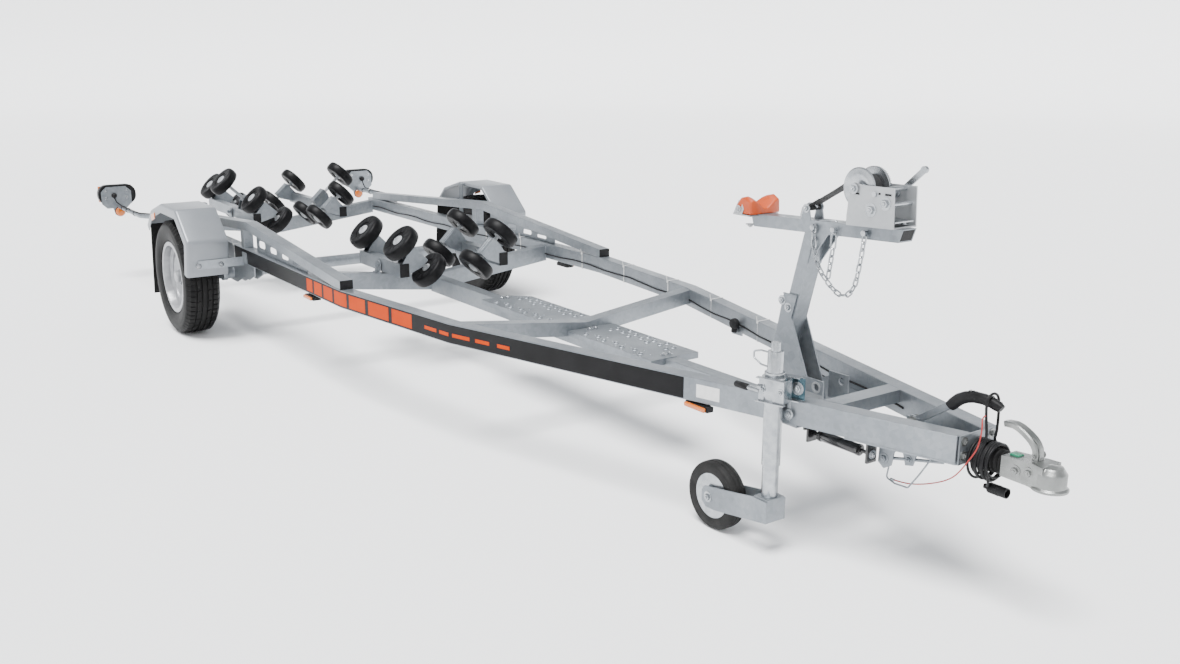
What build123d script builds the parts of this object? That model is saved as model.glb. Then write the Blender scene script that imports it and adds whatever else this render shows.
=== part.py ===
"""Single-axle boat trailer with roller beds, winch post and jockey wheel, in millimetres.

Modelled in the axle frame: X = 0 at the road wheels' axle and +X towards the coupling,
Y = 0 on the centre line with +Y to the left, and Z = 0 on the ground. Each sub-part is
moved to the middle of the trailer's length as it is written out.
"""
import math
import os

from build123d import *

# ---------------------------------------------------------------- clearances
fit_gap = 0.3            # between a shaft and its hole, and between seated round faces
plate = 3.0              # folded galvanised sheet

# ---------------------------------------------------------------- road wheels
tyre_r = 310.0
tyre_w = 185.0
rim_flange_r = 192.0
bead_r = 178.0
rim_half_w = 72.0
axle_z = tyre_r

# ---------------------------------------------------------------- frame
rail_w = 60.0
rail_h = 80.0
rail_wall = 3.0
rail_bottom = 420.0
rail_top = rail_bottom + rail_h
rail_outer = 725.0
tyre_room = 100.5        # from a rail's outer face to its tyre
half_track = rail_outer + tyre_room + tyre_w / 2
rail_rear_x = -1114.0
rail_bend_x = 1650.0
rail_taper_x, rail_taper_y = 2450.0, 625.0
rail_nose_x, rail_nose_y = 4385.0, 87.0

beam_h = 45.0
beam_front_x, beam_crest_x, beam_rear_x = 1650.0, 450.0, -1040.0
beam_end_top, beam_crest_top = 540.0, 645.0
beam_post_x, beam_post_w = 370.0, 50.0
gusset_rear_x, gusset_front_x = 520.0, 1200.0

cross_w = 60.0
cross_h = 80.0
cross_drop = 82.0
rear_cross_x, rear_cross_top = -1080.0, 402.0
front_cross_x, front_cross_top = 1125.0, 406.0
nose_cross_x, nose_cross_top, nose_cross_h = 2460.0, 427.0, 60.0

keel_w, keel_h, keel_top = 60.0, 80.0, 402.0
keel_front_x = 3725.0

# ---------------------------------------------------------------- roller beds
roller_r = 95.0
roller_w = 60.0
roller_rod_r = 10.0
rocker_w = 48.0
rocker_wall = 4.0
rocker_pin_r = 8.0
bearing_r = 17.0
cradle_w = 56.0          # width of a roller cradle along the trailer
cradle_rise = 26.0       # from the roller axis to the cradle's top sheet


def unit(angle_deg):
    """Direction of a line in a plane, from its angle."""
    return math.cos(math.radians(angle_deg)), math.sin(math.radians(angle_deg))


def polygon(points, plane):
    """Flat face from the corner points of one plane."""
    return plane * make_face(Polyline(*points, close=True))


def prism_y(points, y_low, y_high):
    """Outline in X and Z, stretched between two places across the trailer."""
    face = polygon([(x, z) for x, z in points], Plane.XZ)
    return extrude(face, y_high - y_low, dir=(0, 1, 0)).moved(Location((0, y_low, 0)))


def prism_x(points, x_low, x_high):
    """Outline in Y and Z, stretched between two places along the trailer."""
    face = polygon([(y, z) for y, z in points], Plane.YZ)
    return extrude(face, x_high - x_low, dir=(1, 0, 0)).moved(Location((x_low, 0, 0)))


def prism_z(points, z_low, z_high):
    """Outline in X and Y, stretched between two heights."""
    face = polygon([(x, y) for x, y in points], Plane.XY)
    return extrude(face, z_high - z_low, dir=(0, 0, 1)).moved(Location((0, 0, z_low)))


def block(x_low, x_high, y_low, y_high, z_low, z_high):
    """Square block between two corners."""
    size = (x_high - x_low, y_high - y_low, z_high - z_low)
    middle = ((x_low + x_high) / 2, (y_low + y_high) / 2, (z_low + z_high) / 2)
    return Box(*size).moved(Location(middle))


def rod(start, end, radius):
    """Round bar from one point to another."""
    run = Vector(*end) - Vector(*start)
    plane = Plane(origin=start, z_dir=run)
    return plane * Cylinder(radius, run.length, align=(Align.CENTER, Align.CENTER, Align.MIN))


def pipe(start, end, outer_r, inner_r):
    """Round tube from one point to another, open at both ends."""
    return rod(start, end, outer_r) - rod(start, end, inner_r)


def turned(points, origin, axis):
    """Solid of revolution: the points are (radius, place along the axis)."""
    plane = Plane(origin=origin, z_dir=axis)
    face = make_face(Polyline(*[(r, 0, a) for r, a in points], close=True))
    return plane * revolve(face, Axis.Z)


def offset_path(points, shift):
    """A bent line moved sideways, to its right, with mitred corners."""
    moved = []
    for index, (x, y) in enumerate(points):
        before = points[max(index - 1, 0)]
        after = points[min(index + 1, len(points) - 1)]
        if index in (0, len(points) - 1):
            angle = math.atan2(after[1] - before[1], after[0] - before[0])
            reach = shift
        else:
            turn_in = math.atan2(y - before[1], x - before[0])
            turn_out = math.atan2(after[1] - y, after[0] - x)
            angle = (turn_in + turn_out) / 2
            reach = shift / math.cos((turn_out - turn_in) / 2)
        moved.append((x + reach * math.sin(angle), y - reach * math.cos(angle)))
    return moved


def band(points, first, second):
    """Closed strip between two sideways offsets of a bent line."""
    return offset_path(points, first) + offset_path(points, second)[::-1]


def mirrored(shape):
    """The same piece on the other side of the centre line."""
    return mirror(shape, about=Plane.XZ)


def both_sides(shape):
    """A piece and its mirror image."""
    return [shape, mirrored(shape)]


# ================================================================ main frame
rail_path = [(rail_rear_x, rail_outer), (rail_bend_x, rail_outer),
             (rail_taper_x, rail_taper_y), (rail_nose_x, rail_nose_y)]
nose_slope = (rail_nose_y - rail_taper_y) / (rail_nose_x - rail_taper_x)
nose_angle = math.degrees(math.atan(nose_slope))
rail_w_across = rail_w / math.cos(math.radians(nose_angle))
plug_depth, plug_rim = 18.0, 4.0


def rail_face_y(x):
    """Outer face of a rail in the tapering nose."""
    return rail_taper_y + nose_slope * (x - rail_taper_x)


def rail_inner_y(x):
    """Inner face of a rail in the tapering nose."""
    return rail_face_y(x) - rail_w_across


def long_rail_path(extra):
    """The rail's outer line, run on past both of its ends."""
    nose = rail_nose_x + extra
    return [(rail_rear_x - extra, rail_outer)] + rail_path[1:3] + [(nose, rail_face_y(nose))]


def rail():
    """Left main rail: a box tube, straight and then bent in twice to the nose."""
    line = long_rail_path(rail_w)
    tube = prism_z(band(line, 0, rail_w), rail_bottom, rail_top)
    hollow = band(line, rail_wall, rail_w - rail_wall)
    tube -= prism_z(hollow, rail_bottom + rail_wall, rail_top - rail_wall)
    return tube & block(rail_rear_x, rail_nose_x, 0, rail_outer + rail_w, 0, rail_top + rail_h)


def rail_body():
    """Solid space that the left rail takes up, for trimming what is welded between the rails."""
    return prism_z(band(long_rail_path(rail_w), 0, rail_w), rail_bottom - rail_h, rail_top + rail_h)


def beam_top(x):
    """Top of the upper beam."""
    end_x = beam_front_x if x > beam_crest_x else beam_rear_x
    share = (x - beam_crest_x) / (end_x - beam_crest_x)
    return beam_crest_top + share * (beam_end_top - beam_crest_top)


def beam_bottom(x):
    """Underside of the upper beam."""
    end_x = beam_front_x if x > beam_crest_x else beam_rear_x
    slope = math.atan((beam_crest_top - beam_end_top) / (end_x - beam_crest_x))
    return beam_top(x) - beam_h / math.cos(slope)


def beam_outline(wall, overrun):
    """Side view of the bowed beam, cut flat where it lies on the rail."""
    stations = [beam_rear_x - overrun, beam_crest_x, beam_front_x + overrun]
    top = [(x, beam_top(x) - wall) for x in stations]
    bottom = [(x, beam_bottom(x) + wall) for x in stations]
    return prism_y(top + bottom[::-1], rail_outer - rail_w + wall, rail_outer - wall)


def upper_beam():
    """Left bowed beam above the rail, with its post and its slotted gusset plate."""
    above_rail = block(beam_rear_x, beam_front_x, 0, rail_outer + rail_w, rail_top, beam_crest_top)
    hollow_room = block(beam_rear_x - rail_w, beam_front_x + rail_w, 0, rail_outer + rail_w,
                        rail_top + rail_wall, beam_crest_top)
    beam = (beam_outline(0, 0) & above_rail) - (beam_outline(rail_wall, rail_w) & hollow_room)
    low_x, high_x = beam_post_x - beam_post_w / 2, beam_post_x + beam_post_w / 2
    post = prism_y([(low_x, rail_top), (high_x, rail_top), (high_x, beam_bottom(high_x)),
                    (low_x, beam_bottom(low_x))], rail_outer - rail_w + 5, rail_outer - 5)
    middle = rail_outer - rail_w / 2
    gusset = prism_y([(gusset_rear_x, rail_top), (gusset_front_x, rail_top),
                      (gusset_front_x, beam_bottom(gusset_front_x)),
                      (gusset_rear_x, beam_bottom(gusset_rear_x))], middle - 2.5, middle + 2.5)
    for slot_x, slot_h in ((600, 36), (760, 30), (920, 24), (1070, 16)):
        slot_z = (rail_top + beam_bottom(slot_x)) / 2
        slot = extrude(Plane.XZ * SlotOverall(90, slot_h), rail_w, both=True)
        gusset -= slot.moved(Location((slot_x, middle, slot_z)))
    return beam + post + gusset


def end_plug(x, y, z_low, z_high, outward):
    """Black plastic plug pushed into the open end of a box tube."""
    room = rail_w / 2 - rail_wall - fit_gap
    tongue_end = x - outward * plug_depth
    tongue = block(min(x, tongue_end), max(x, tongue_end), y - room, y + room,
                   z_low + rail_wall + fit_gap, z_high - rail_wall - fit_gap)
    rim = block(min(x, x + outward * plug_rim), max(x, x + outward * plug_rim),
                y - rail_w / 2, y + rail_w / 2, z_low, z_high)
    return tongue + rim


def end_plugs():
    """Plugs of the rails' rear ends and of the upper beams' front ends."""
    middle = rail_outer - rail_w / 2
    rear = end_plug(rail_rear_x, middle, rail_bottom, rail_top, -1)
    front = block(beam_front_x, beam_front_x + plug_rim, middle - rail_w / 2, middle + rail_w / 2,
                  rail_top, beam_end_top)
    return both_sides(rear) + both_sides(front)


def cross_beam(x, vertex_top, height, half_span, rise):
    """V-shaped cross beam: a box tube, lowest on the centre line."""
    def outline(wall, extra):
        reach = half_span + extra
        up = rise * reach / half_span
        high, low = vertex_top - wall, vertex_top - height + wall
        return [(-reach, high + up), (0, high), (reach, high + up),
                (reach, low + up), (0, low), (-reach, low + up)]
    half_w = cross_w / 2
    tube = prism_x(outline(0, 0), x - half_w, x + half_w)
    return tube - prism_x(outline(rail_wall, rail_w), x - half_w + rail_wall, x + half_w - rail_wall)


def cross_beams():
    """Rear, front and nose cross beams; the nose one bridges the keel beam."""
    inner = rail_outer - rail_w
    rear = cross_beam(rear_cross_x, rear_cross_top, cross_h, inner, cross_drop)
    front = cross_beam(front_cross_x, front_cross_top, cross_h, inner, cross_drop)
    nose_rise = cross_drop * rail_inner_y(nose_cross_x) / inner
    wide = rail_inner_y(nose_cross_x - cross_w) + rail_w / 2
    nose = cross_beam(nose_cross_x, nose_cross_top, nose_cross_h, wide,
                      nose_rise * wide / rail_inner_y(nose_cross_x))
    nose -= rail_body()
    nose -= mirrored(rail_body())
    nose -= block(nose_cross_x - cross_w, nose_cross_x + cross_w, -keel_w / 2, keel_w / 2,
                  0, keel_top)
    return [rear, front, nose]


def keel_beam():
    """Box tube on the centre line, from the front cross beam to the winch post's foot."""
    rear_x = front_cross_x + cross_w / 2
    tube = block(rear_x, keel_front_x, -keel_w / 2, keel_w / 2, keel_top - keel_h, keel_top)
    return tube - block(rear_x - 1, keel_front_x + 1, -keel_w / 2 + rail_wall, keel_w / 2 - rail_wall,
                        keel_top - keel_h + rail_wall, keel_top - rail_wall)


walk_right, walk_left = -100.0, 130.0
walk_fold = 22.0
walk_gap = 5.0           # between a step plate and the nose cross beam
walk_rear_x, walk_front_x = 1790.0, 3045.0
walk_corner = 70.0
walk_hole_r, walk_hole_pitch, walk_hole_margin = 9.0, 60.0, 90.0
walk_hole_rows = (-72.0, 52.0, 88.0)
walk_hole_stagger = 18.0


def walk_plate(rear_x, front_x, corner):
    """Perforated step plate on the keel beam, with folded edges and one cut corner."""
    cut = [(rear_x + corner, walk_left), (rear_x, walk_left - corner)] if corner else [(rear_x, walk_left)]
    outline = [(rear_x, walk_right), (front_x, walk_right), (front_x, walk_left)] + cut
    sheet = prism_z(outline, keel_top, keel_top + plate)
    low, high = keel_top - walk_fold, keel_top + plate
    sheet += block(rear_x, front_x, walk_right, walk_right + plate, low + plate, high)
    sheet += block(rear_x + corner, front_x, walk_left - plate, walk_left, low + plate, high)
    sheet += block(front_x - plate, front_x, walk_right, -keel_w / 2 - 1, low, keel_top)
    sheet += block(front_x - plate, front_x, keel_w / 2 + 1, walk_left, low, keel_top)
    hole = Cylinder(walk_hole_r, 4 * plate).moved(Location((0, 0, keel_top)))
    columns = int((front_x - rear_x) // walk_hole_pitch) - 2
    holes = [hole.moved(Location((rear_x + walk_hole_margin + walk_hole_pitch * i,
                                  y + walk_hole_stagger * (i % 2), 0)))
             for i in range(columns) for y in walk_hole_rows]
    return sheet - holes


def walk_plates():
    """Both step plates."""
    reach = cross_w / 2 + walk_gap
    return [walk_plate(walk_rear_x, nose_cross_x - reach, walk_corner),
            walk_plate(nose_cross_x + reach, walk_front_x, 0)]


# ================================================================ nose of the frame
foot_plate_t = 6.0
foot_rear_x, foot_front_x = 3600.0, 3862.0
nose_channel_x, nose_channel_w, nose_channel_h, nose_channel_t = 3945.0, 62.0, 42.0, 4.0
nose_plate_rear_x = 4060.0
flange_t = 6.0


def trimmed_between_rails(shape):
    """What is left of a plate once both rails' space is taken out of it."""
    return shape - rail_body() - mirrored(rail_body())


def nose_plates():
    """Plates that tie the rails together ahead of the roller beds."""
    wide = rail_inner_y(foot_rear_x) + rail_w / 2
    foot = block(foot_rear_x, foot_front_x, -wide, wide, rail_bottom, rail_bottom + foot_plate_t)
    foot = trimmed_between_rails(foot).solids().sort_by(lambda s: abs(s.center().Y))[0]
    foot += block(foot_rear_x, keel_front_x, -keel_w / 2, keel_w / 2, keel_top, rail_bottom)
    low = rail_top - nose_channel_h
    channel_end = nose_channel_x + nose_channel_w
    wide = rail_inner_y(nose_channel_x) + rail_w / 2
    channel = block(nose_channel_x, channel_end, -wide, wide, low, rail_top)
    channel -= block(nose_channel_x + nose_channel_t, channel_end - nose_channel_t, -wide, wide,
                     low, rail_top - nose_channel_t)
    channel = trimmed_between_rails(channel).solids().sort_by(lambda s: abs(s.center().Y))[0]
    rear_y = rail_face_y(nose_plate_rear_x) - 2
    front_y = rail_nose_y - 2
    under = prism_z([(nose_plate_rear_x, -rear_y), (rail_nose_x, -front_y), (rail_nose_x, front_y),
                     (nose_plate_rear_x, rear_y)], rail_bottom - flange_t, rail_bottom)
    under -= rod((overrun_rear_x - 5, 0, coupling_z), (rail_nose_x + 5, 0, coupling_z),
                 overrun_r + fit_gap)
    wire_path = FilletPolyline(*loop_route, radius=[loop_bend_r] * (len(loop_route) - 2))
    wire_start = Plane(origin=loop_route[0], z_dir=Vector(*loop_route[1]) - Vector(*loop_route[0]))
    under += sweep(wire_start * Circle(loop_wire_r), path=wire_path)
    return [foot, channel, under]


# ================================================================ axle
axle_tube_r = 32.0
axle_tube_x, axle_tube_z = 170.0, 335.0
arm_t, arm_half_h = 24.0, 30.0
arm_room = 32.0          # from a rail's outer face to the trailing arm
arm_y = rail_outer + arm_room
axle_tube_half = arm_y - 2
stub_r, stub_boss_r = 22.0, 32.0
backplate_r, backplate_t, backplate_boss_r = 128.0, 6.0, 45.0
backplate_y = half_track - 118
hub_face_y = half_track - 43
hanger_t = 6.0
# side view of a hanger: place along the trailer, and height from the rail's underside
hanger_line = [(60, 0), (520, 0), (520, -48), (430, -84), (350, -84), (230, -128), (110, -128), (60, -90)]


def axle_beam():
    """Torsion axle: cross tube, trailing arms with stub axles, and hangers under the rails."""
    beam = rod((axle_tube_x, -axle_tube_half, axle_tube_z), (axle_tube_x, axle_tube_half, axle_tube_z),
               axle_tube_r)
    for side in (1, -1):
        pieces = rod((axle_tube_x, side * axle_tube_half, axle_tube_z),
                     (axle_tube_x, side * (arm_y + arm_t), axle_tube_z), axle_tube_r + 6)
        run = Vector(-axle_tube_x, 0, axle_z - axle_tube_z)
        normal = Vector(-run.Z, 0, run.X).normalized() * arm_half_h
        corners = [(axle_tube_x + normal.X, axle_tube_z + normal.Z), (normal.X, axle_z + normal.Z),
                   (-normal.X, axle_z - normal.Z), (axle_tube_x - normal.X, axle_tube_z - normal.Z)]
        arm_low, arm_high = sorted((side * arm_y, side * (arm_y + arm_t)))
        pieces += prism_y(corners, arm_low, arm_high)
        pieces += rod((0, side * arm_y, axle_z), (0, side * (arm_y + arm_t), axle_z), stub_boss_r)
        pieces += rod((0, side * arm_y, axle_z), (0, side * hub_face_y, axle_z), stub_r)
        for web_y in (rail_outer - rail_w + 6, rail_outer - 6 - hanger_t):
            low, high = sorted((side * web_y, side * (web_y + hanger_t)))
            pieces += prism_y([(x, rail_bottom + z) for x, z in hanger_line], low, high)
        low, high = sorted((side * (rail_outer - rail_w + 2), side * (rail_outer - 2)))
        pieces += block(40, 530, low, high, rail_bottom - hanger_t, rail_bottom)
        beam += pieces
    return beam


def brake_units():
    """Brake backing plate with the fixed shoe carrier of each wheel."""
    left = pipe((0, arm_y + arm_t, axle_z), (0, backplate_y, axle_z), backplate_boss_r,
                stub_r + fit_gap)
    left += pipe((0, backplate_y, axle_z), (0, backplate_y + backplate_t, axle_z), backplate_r,
                 stub_r + fit_gap)
    return both_sides(left)


def tyre(side):
    """Road tyre with rounded shoulders."""
    bore = bead_r + fit_gap
    half = tyre_w / 2
    seat = rim_half_w - fit_gap
    with BuildSketch(Plane.XZ) as section:
        with BuildLine():
            Line((bore, -seat), (bore, seat))
            Line((bore, seat), (rim_flange_r + 4, seat))
            ThreePointArc((rim_flange_r + 4, seat), (tyre_r - 65, half), (tyre_r - 17, half - 9))
            ThreePointArc((tyre_r - 17, half - 9), (tyre_r - 7, half - 16), (tyre_r - 2, half - 28))
            ThreePointArc((tyre_r - 2, half - 28), (tyre_r, 0), (tyre_r - 2, 28 - half))
            ThreePointArc((tyre_r - 2, 28 - half), (tyre_r - 7, 16 - half), (tyre_r - 17, 9 - half))
            ThreePointArc((tyre_r - 17, 9 - half), (tyre_r - 65, -half), (rim_flange_r + 4, -seat))
            Line((rim_flange_r + 4, -seat), (bore, -seat))
        make_face()
    ring = revolve(section.sketch, Axis.Z)
    return Plane(origin=(0, side * half_track, axle_z), z_dir=(0, side, 0)) * ring


disc_t = 6.0
disc_offset = 28.0
drum_r = 118.0


def rim(side):
    """Pressed steel wheel with lips, a dished disc with vent holes, its brake drum and hub."""
    lip = rim_flange_r
    half = rim_half_w
    barrel = [(bead_r, -half), (lip, -half), (lip, -half - 5), (bead_r - 6, -half - 5),
              (bead_r - 6, -40), (bead_r - 22, -30), (bead_r - 22, 30), (bead_r - 6, 40),
              (bead_r - 6, half + 5), (lip, half + 5), (lip, half), (bead_r, half),
              (bead_r, 44), (bead_r - 16, 33), (bead_r - 16, -33), (bead_r, -44)]
    hub_back = backplate_y + backplate_t + 5 - half_track
    disc = [(stub_r + fit_gap, disc_offset - 12), (92, disc_offset - 12), (120, disc_offset + 6),
            (bead_r - 22, disc_offset - 6), (bead_r - 22, disc_offset - 12), (124, disc_offset),
            (96, disc_offset - 18), (drum_r, disc_offset - 18), (drum_r, hub_back),
            (drum_r - 7, hub_back), (drum_r - 7, disc_offset - 25),
            (stub_r + 16, disc_offset - 25), (stub_r + 16, hub_back + 30),
            (stub_r + fit_gap, hub_back + 30)]
    cap = [(0, disc_offset - 4), (0, disc_offset + 34), (26, disc_offset + 34), (33, disc_offset + 28),
           (34, disc_offset - 12), (stub_r + fit_gap, disc_offset - 12),
           (stub_r + fit_gap, disc_offset - 4)]
    origin, axis = (0, side * half_track, axle_z), (0, side, 0)
    wheel = turned(barrel, origin, axis) + turned(disc, origin, axis) + turned(cap, origin, axis)
    vent = Plane(origin=origin, z_dir=axis) * Pos(138, 0, disc_offset) * Cylinder(11, 60)
    about = Axis(origin, axis)
    return wheel - [vent.rotate(about, 360 * i / 12) for i in range(12)]


# ================================================================ mudguards
guard_side_gap = 21.5    # from the tyre's inner side to the mudguard's inner edge
guard_w = 213.0
guard_inner = half_track - tyre_w / 2 - guard_side_gap
guard_outer = guard_inner + guard_w
guard_skirt, guard_lip = 48.0, 18.0
# outer face of the folded sheet, from the rear edge over the top to the front edge
guard_line = [(-347, 560), (-254, 648), (-50, 705), (230, 703), (405, 555), (365, 368)]
guard_under = guard_line[2][1] - plate - 1.4
upright_rear_x, upright_front_x = -20.0, 25.0
upright_y, upright_t = guard_inner - 20, 6.0
flap_t, flap_len, flap_lean = 6.0, 410.0, 53.0


def mudguard():
    """Left mudguard: one sheet with flat folds, and a narrow skirt along its outer edge."""
    sheet = prism_y(band(guard_line, 0, plate), guard_inner, guard_outer)
    skirt = prism_y(band(guard_line, 0, guard_skirt), guard_outer - plate, guard_outer)
    lip = prism_y(band(guard_line, 0, guard_lip), guard_inner, guard_inner + plate)
    lip -= block(upright_rear_x - 2, upright_front_x + 2, guard_inner - 1, guard_inner + plate + 1,
                 0, guard_under)
    return sheet + skirt + lip


def mud_flap():
    """Rubber flap hung inside the mudguard's rear edge."""
    hung_x, hung_z = guard_line[0]
    face = [(hung_x, hung_z), (hung_x - 5, hung_z - 30), (hung_x - flap_lean, hung_z - flap_len)]
    return prism_y(band(face, 0, flap_t), guard_inner + plate + 1, guard_outer - 20)


def fender_bracket():
    """Left mudguard's carriers: the front cross plate and the upright behind the wheel's face."""
    top, foot = guard_line[4], guard_line[5]
    lean = (top[0] - foot[0]) / (top[1] - foot[1])
    low_z, high_z = rail_bottom - 12, rail_bottom + 35
    low_x = foot[0] + lean * (low_z - foot[1])
    high_x = foot[0] + lean * (high_z - foot[1])
    front = prism_y([(low_x, low_z), (low_x + 5, low_z), (high_x + 5, high_z), (high_x, high_z)],
                    rail_outer, guard_outer - 55)
    front += block(high_x - 4, high_x + 60, rail_outer, rail_outer + upright_t,
                   rail_bottom + 5, rail_bottom + 60)
    rail_side, tab_y = rail_outer + upright_t, upright_y + 86
    upright = [(rail_outer, rail_bottom + 20), (rail_outer, rail_bottom + 70),
               (rail_side, rail_bottom + 70), (rail_side, rail_bottom + 30),
               (upright_y, rail_bottom + 50), (upright_y, guard_under), (tab_y, guard_under),
               (tab_y, guard_under - upright_t), (upright_y + upright_t, guard_under - upright_t),
               (upright_y + upright_t, rail_bottom + 43)]
    rear = prism_x(upright, upright_rear_x, upright_front_x)
    return [front, rear]


# ================================================================ rear lamps
lamp_arm_r, lamp_arm_wall = 13.5, 2.5
lamp_arm_y, lamp_arm_z = 850.0, 485.0
lamp_plate_x, lamp_plate_t, lamp_plate_corner = -1700.0, 4.0, 32.0
lamp_w, lamp_h = 236.0, 132.0
lamp_y_low, lamp_z_low = lamp_arm_y - 111, lamp_arm_z + 13
lamp_y_high, lamp_z_high = lamp_y_low + lamp_w, lamp_z_low + lamp_h
lamp_edge = 5.0          # by which the lens stays inside the housing's outline
lamp_corner_r = 28.0
lamp_back_x, lamp_lens_x = -1762.0, -1790.0


def lamp_arm():
    """Left lamp arm: a bent tube from the rail's side, ending in an eight-sided lamp plate."""
    start_y = rail_outer + lamp_arm_r + 5
    route = [(rail_rear_x + 274, start_y, lamp_arm_z), (rail_rear_x + 104, start_y, lamp_arm_z),
             (rail_rear_x - 66, lamp_arm_y, lamp_arm_z), (lamp_plate_x, lamp_arm_y, lamp_arm_z)]
    path = FilletPolyline(*route, radius=[60, 60])
    start = Plane(origin=route[0], z_dir=(-1, 0, 0))
    arm = sweep(start * Circle(lamp_arm_r), path=path)
    arm -= sweep(start * Circle(lamp_arm_r - lamp_arm_wall), path=path)
    for clamp_x in (rail_rear_x + 244, rail_rear_x + 154):
        clamp = block(clamp_x - 15, clamp_x + 15, rail_outer, start_y, lamp_arm_z - 12, lamp_arm_z + 12)
        arm += clamp - rod((clamp_x - 20, start_y, lamp_arm_z), (clamp_x + 20, start_y, lamp_arm_z),
                           lamp_arm_r - 1)
    corner = lamp_plate_corner
    y_low, y_high = lamp_arm_y - 79, lamp_arm_y + 109
    z_low, z_high = lamp_arm_z - 10, lamp_arm_z + 132
    plate_outline = [(y_low + corner, z_low), (y_high - corner, z_low), (y_high, z_low + corner),
                     (y_high, z_high - corner), (y_high - corner, z_high), (y_low + corner, z_high),
                     (y_low, z_high - corner), (y_low, z_low + corner)]
    arm += prism_x(plate_outline, lamp_plate_x - lamp_plate_t, lamp_plate_x)
    tab_low, tab_high = lamp_arm_z - 53, lamp_arm_z - 5
    tab = [(lamp_arm_y - 30, tab_low), (lamp_arm_y + 30, tab_low), (lamp_arm_y + 42, tab_high),
           (lamp_arm_y - 42, tab_high)]
    arm += prism_x(tab, lamp_plate_x - lamp_plate_t, lamp_plate_x)
    return arm


def lamp_housing():
    """Left lamp housing: a shallow box with round corners behind the lens."""
    front = lamp_plate_x - lamp_plate_t
    shell = block(lamp_back_x, front, lamp_y_low, lamp_y_high, lamp_z_low, lamp_z_high)
    return fillet(shell.edges().filter_by(Axis.X), lamp_corner_r)


def lamp_lens():
    """Left lens, with its edge inside the housing's outline."""
    lens = block(lamp_lens_x, lamp_back_x, lamp_y_low + lamp_edge, lamp_y_high - lamp_edge,
                 lamp_z_low + lamp_edge, lamp_z_high - lamp_edge)
    lens = fillet(lens.edges().filter_by(Axis.X), lamp_corner_r - lamp_edge + 1)
    return fillet(lens.faces().sort_by(Axis.X)[0].edges(), 8)


front_marker_x, side_marker_x = 3557.0, 1279.0


def side_markers():
    """Marker lamps hung under the rails' outer edge."""
    x, low_y, top_z = front_marker_x, rail_face_y(front_marker_x) - 26, rail_bottom - 2
    front = block(x - 56, x + 56, low_y, low_y + 40, top_z - 22, top_z)
    front += block(x - 37, x + 37, low_y, low_y + 16, top_z, rail_bottom)
    x, low_y, top_z = side_marker_x, rail_outer - 40, rail_bottom - 12
    side = block(x - 51, x + 51, low_y, low_y + 52, top_z - 18, top_z)
    side += block(x - 39, x + 39, low_y, low_y + 30, top_z, rail_bottom)
    return both_sides(front) + both_sides(side)


# ================================================================ roller beds
# name: place along the trailer, roller axis centre (across, height), tilt, half spacing,
# place of the cradle along the axis
front_rocker = dict(pivot_x=1139.5, y=275.0, z=489.0, h=66.0, rear_x=905.0, front_x=1362.0,
                    pairs=[("rear", 944.0, 203.5, 545.0, 45.0, 103.0, 0.0),
                           ("front", 1335.0, 203.5, 545.0, 45.0, 103.0, 0.0)])
rear_rocker = dict(pivot_x=rear_cross_x, y=283.0, z=484.0, h=64.0, rear_x=-1546.0, front_x=-664.0,
                   pairs=[("rear", -1520.0, 208.0, 530.0, 42.0, 104.0, 0.0),
                          ("middle", -936.0, 263.5, 575.0, 43.5, 173.0, -36.0),
                          ("front", -690.0, 208.0, 530.0, 42.0, 104.0, 0.0)])
rocker_swing = 10.0


def pair_plane(pair, along=0.0):
    """Plane at a roller pair: its X runs along the axle, outwards and up, and its Z forwards."""
    _, x, y, z, tilt, _, _ = pair
    run_y, run_z = unit(tilt)
    return Plane(origin=(x, y + along * run_y, z + along * run_z), x_dir=(0, run_y, run_z),
                 z_dir=(1, 0, 0))


def roller_pair(pair):
    """Two boat rollers and the rod that joins them."""
    spacing = pair[5]
    run_y, run_z = unit(pair[4])
    axle = Plane(origin=(pair[1], pair[2], pair[3]), z_dir=(0, run_y, run_z))
    half = roller_w / 2
    crown = roller_r - 9
    tread = [(roller_rod_r - 1, -half + 8), (38, -half + 8), (46, -half + 2), (roller_r - 16, -half),
             (crown, -half + 3), (roller_r, -half + 20), (roller_r, half - 20), (crown, half - 3),
             (roller_r - 16, half), (46, half - 2), (38, half - 8), (roller_rod_r - 1, half - 8)]
    pieces = axle * Cylinder(roller_rod_r, 2 * spacing + roller_w - 10)
    for place in (-spacing, spacing):
        centre = (pair[1], pair[2] + place * run_y, pair[3] + place * run_z)
        pieces += turned(tread, centre, (0, run_y, run_z))
    return pieces


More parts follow.
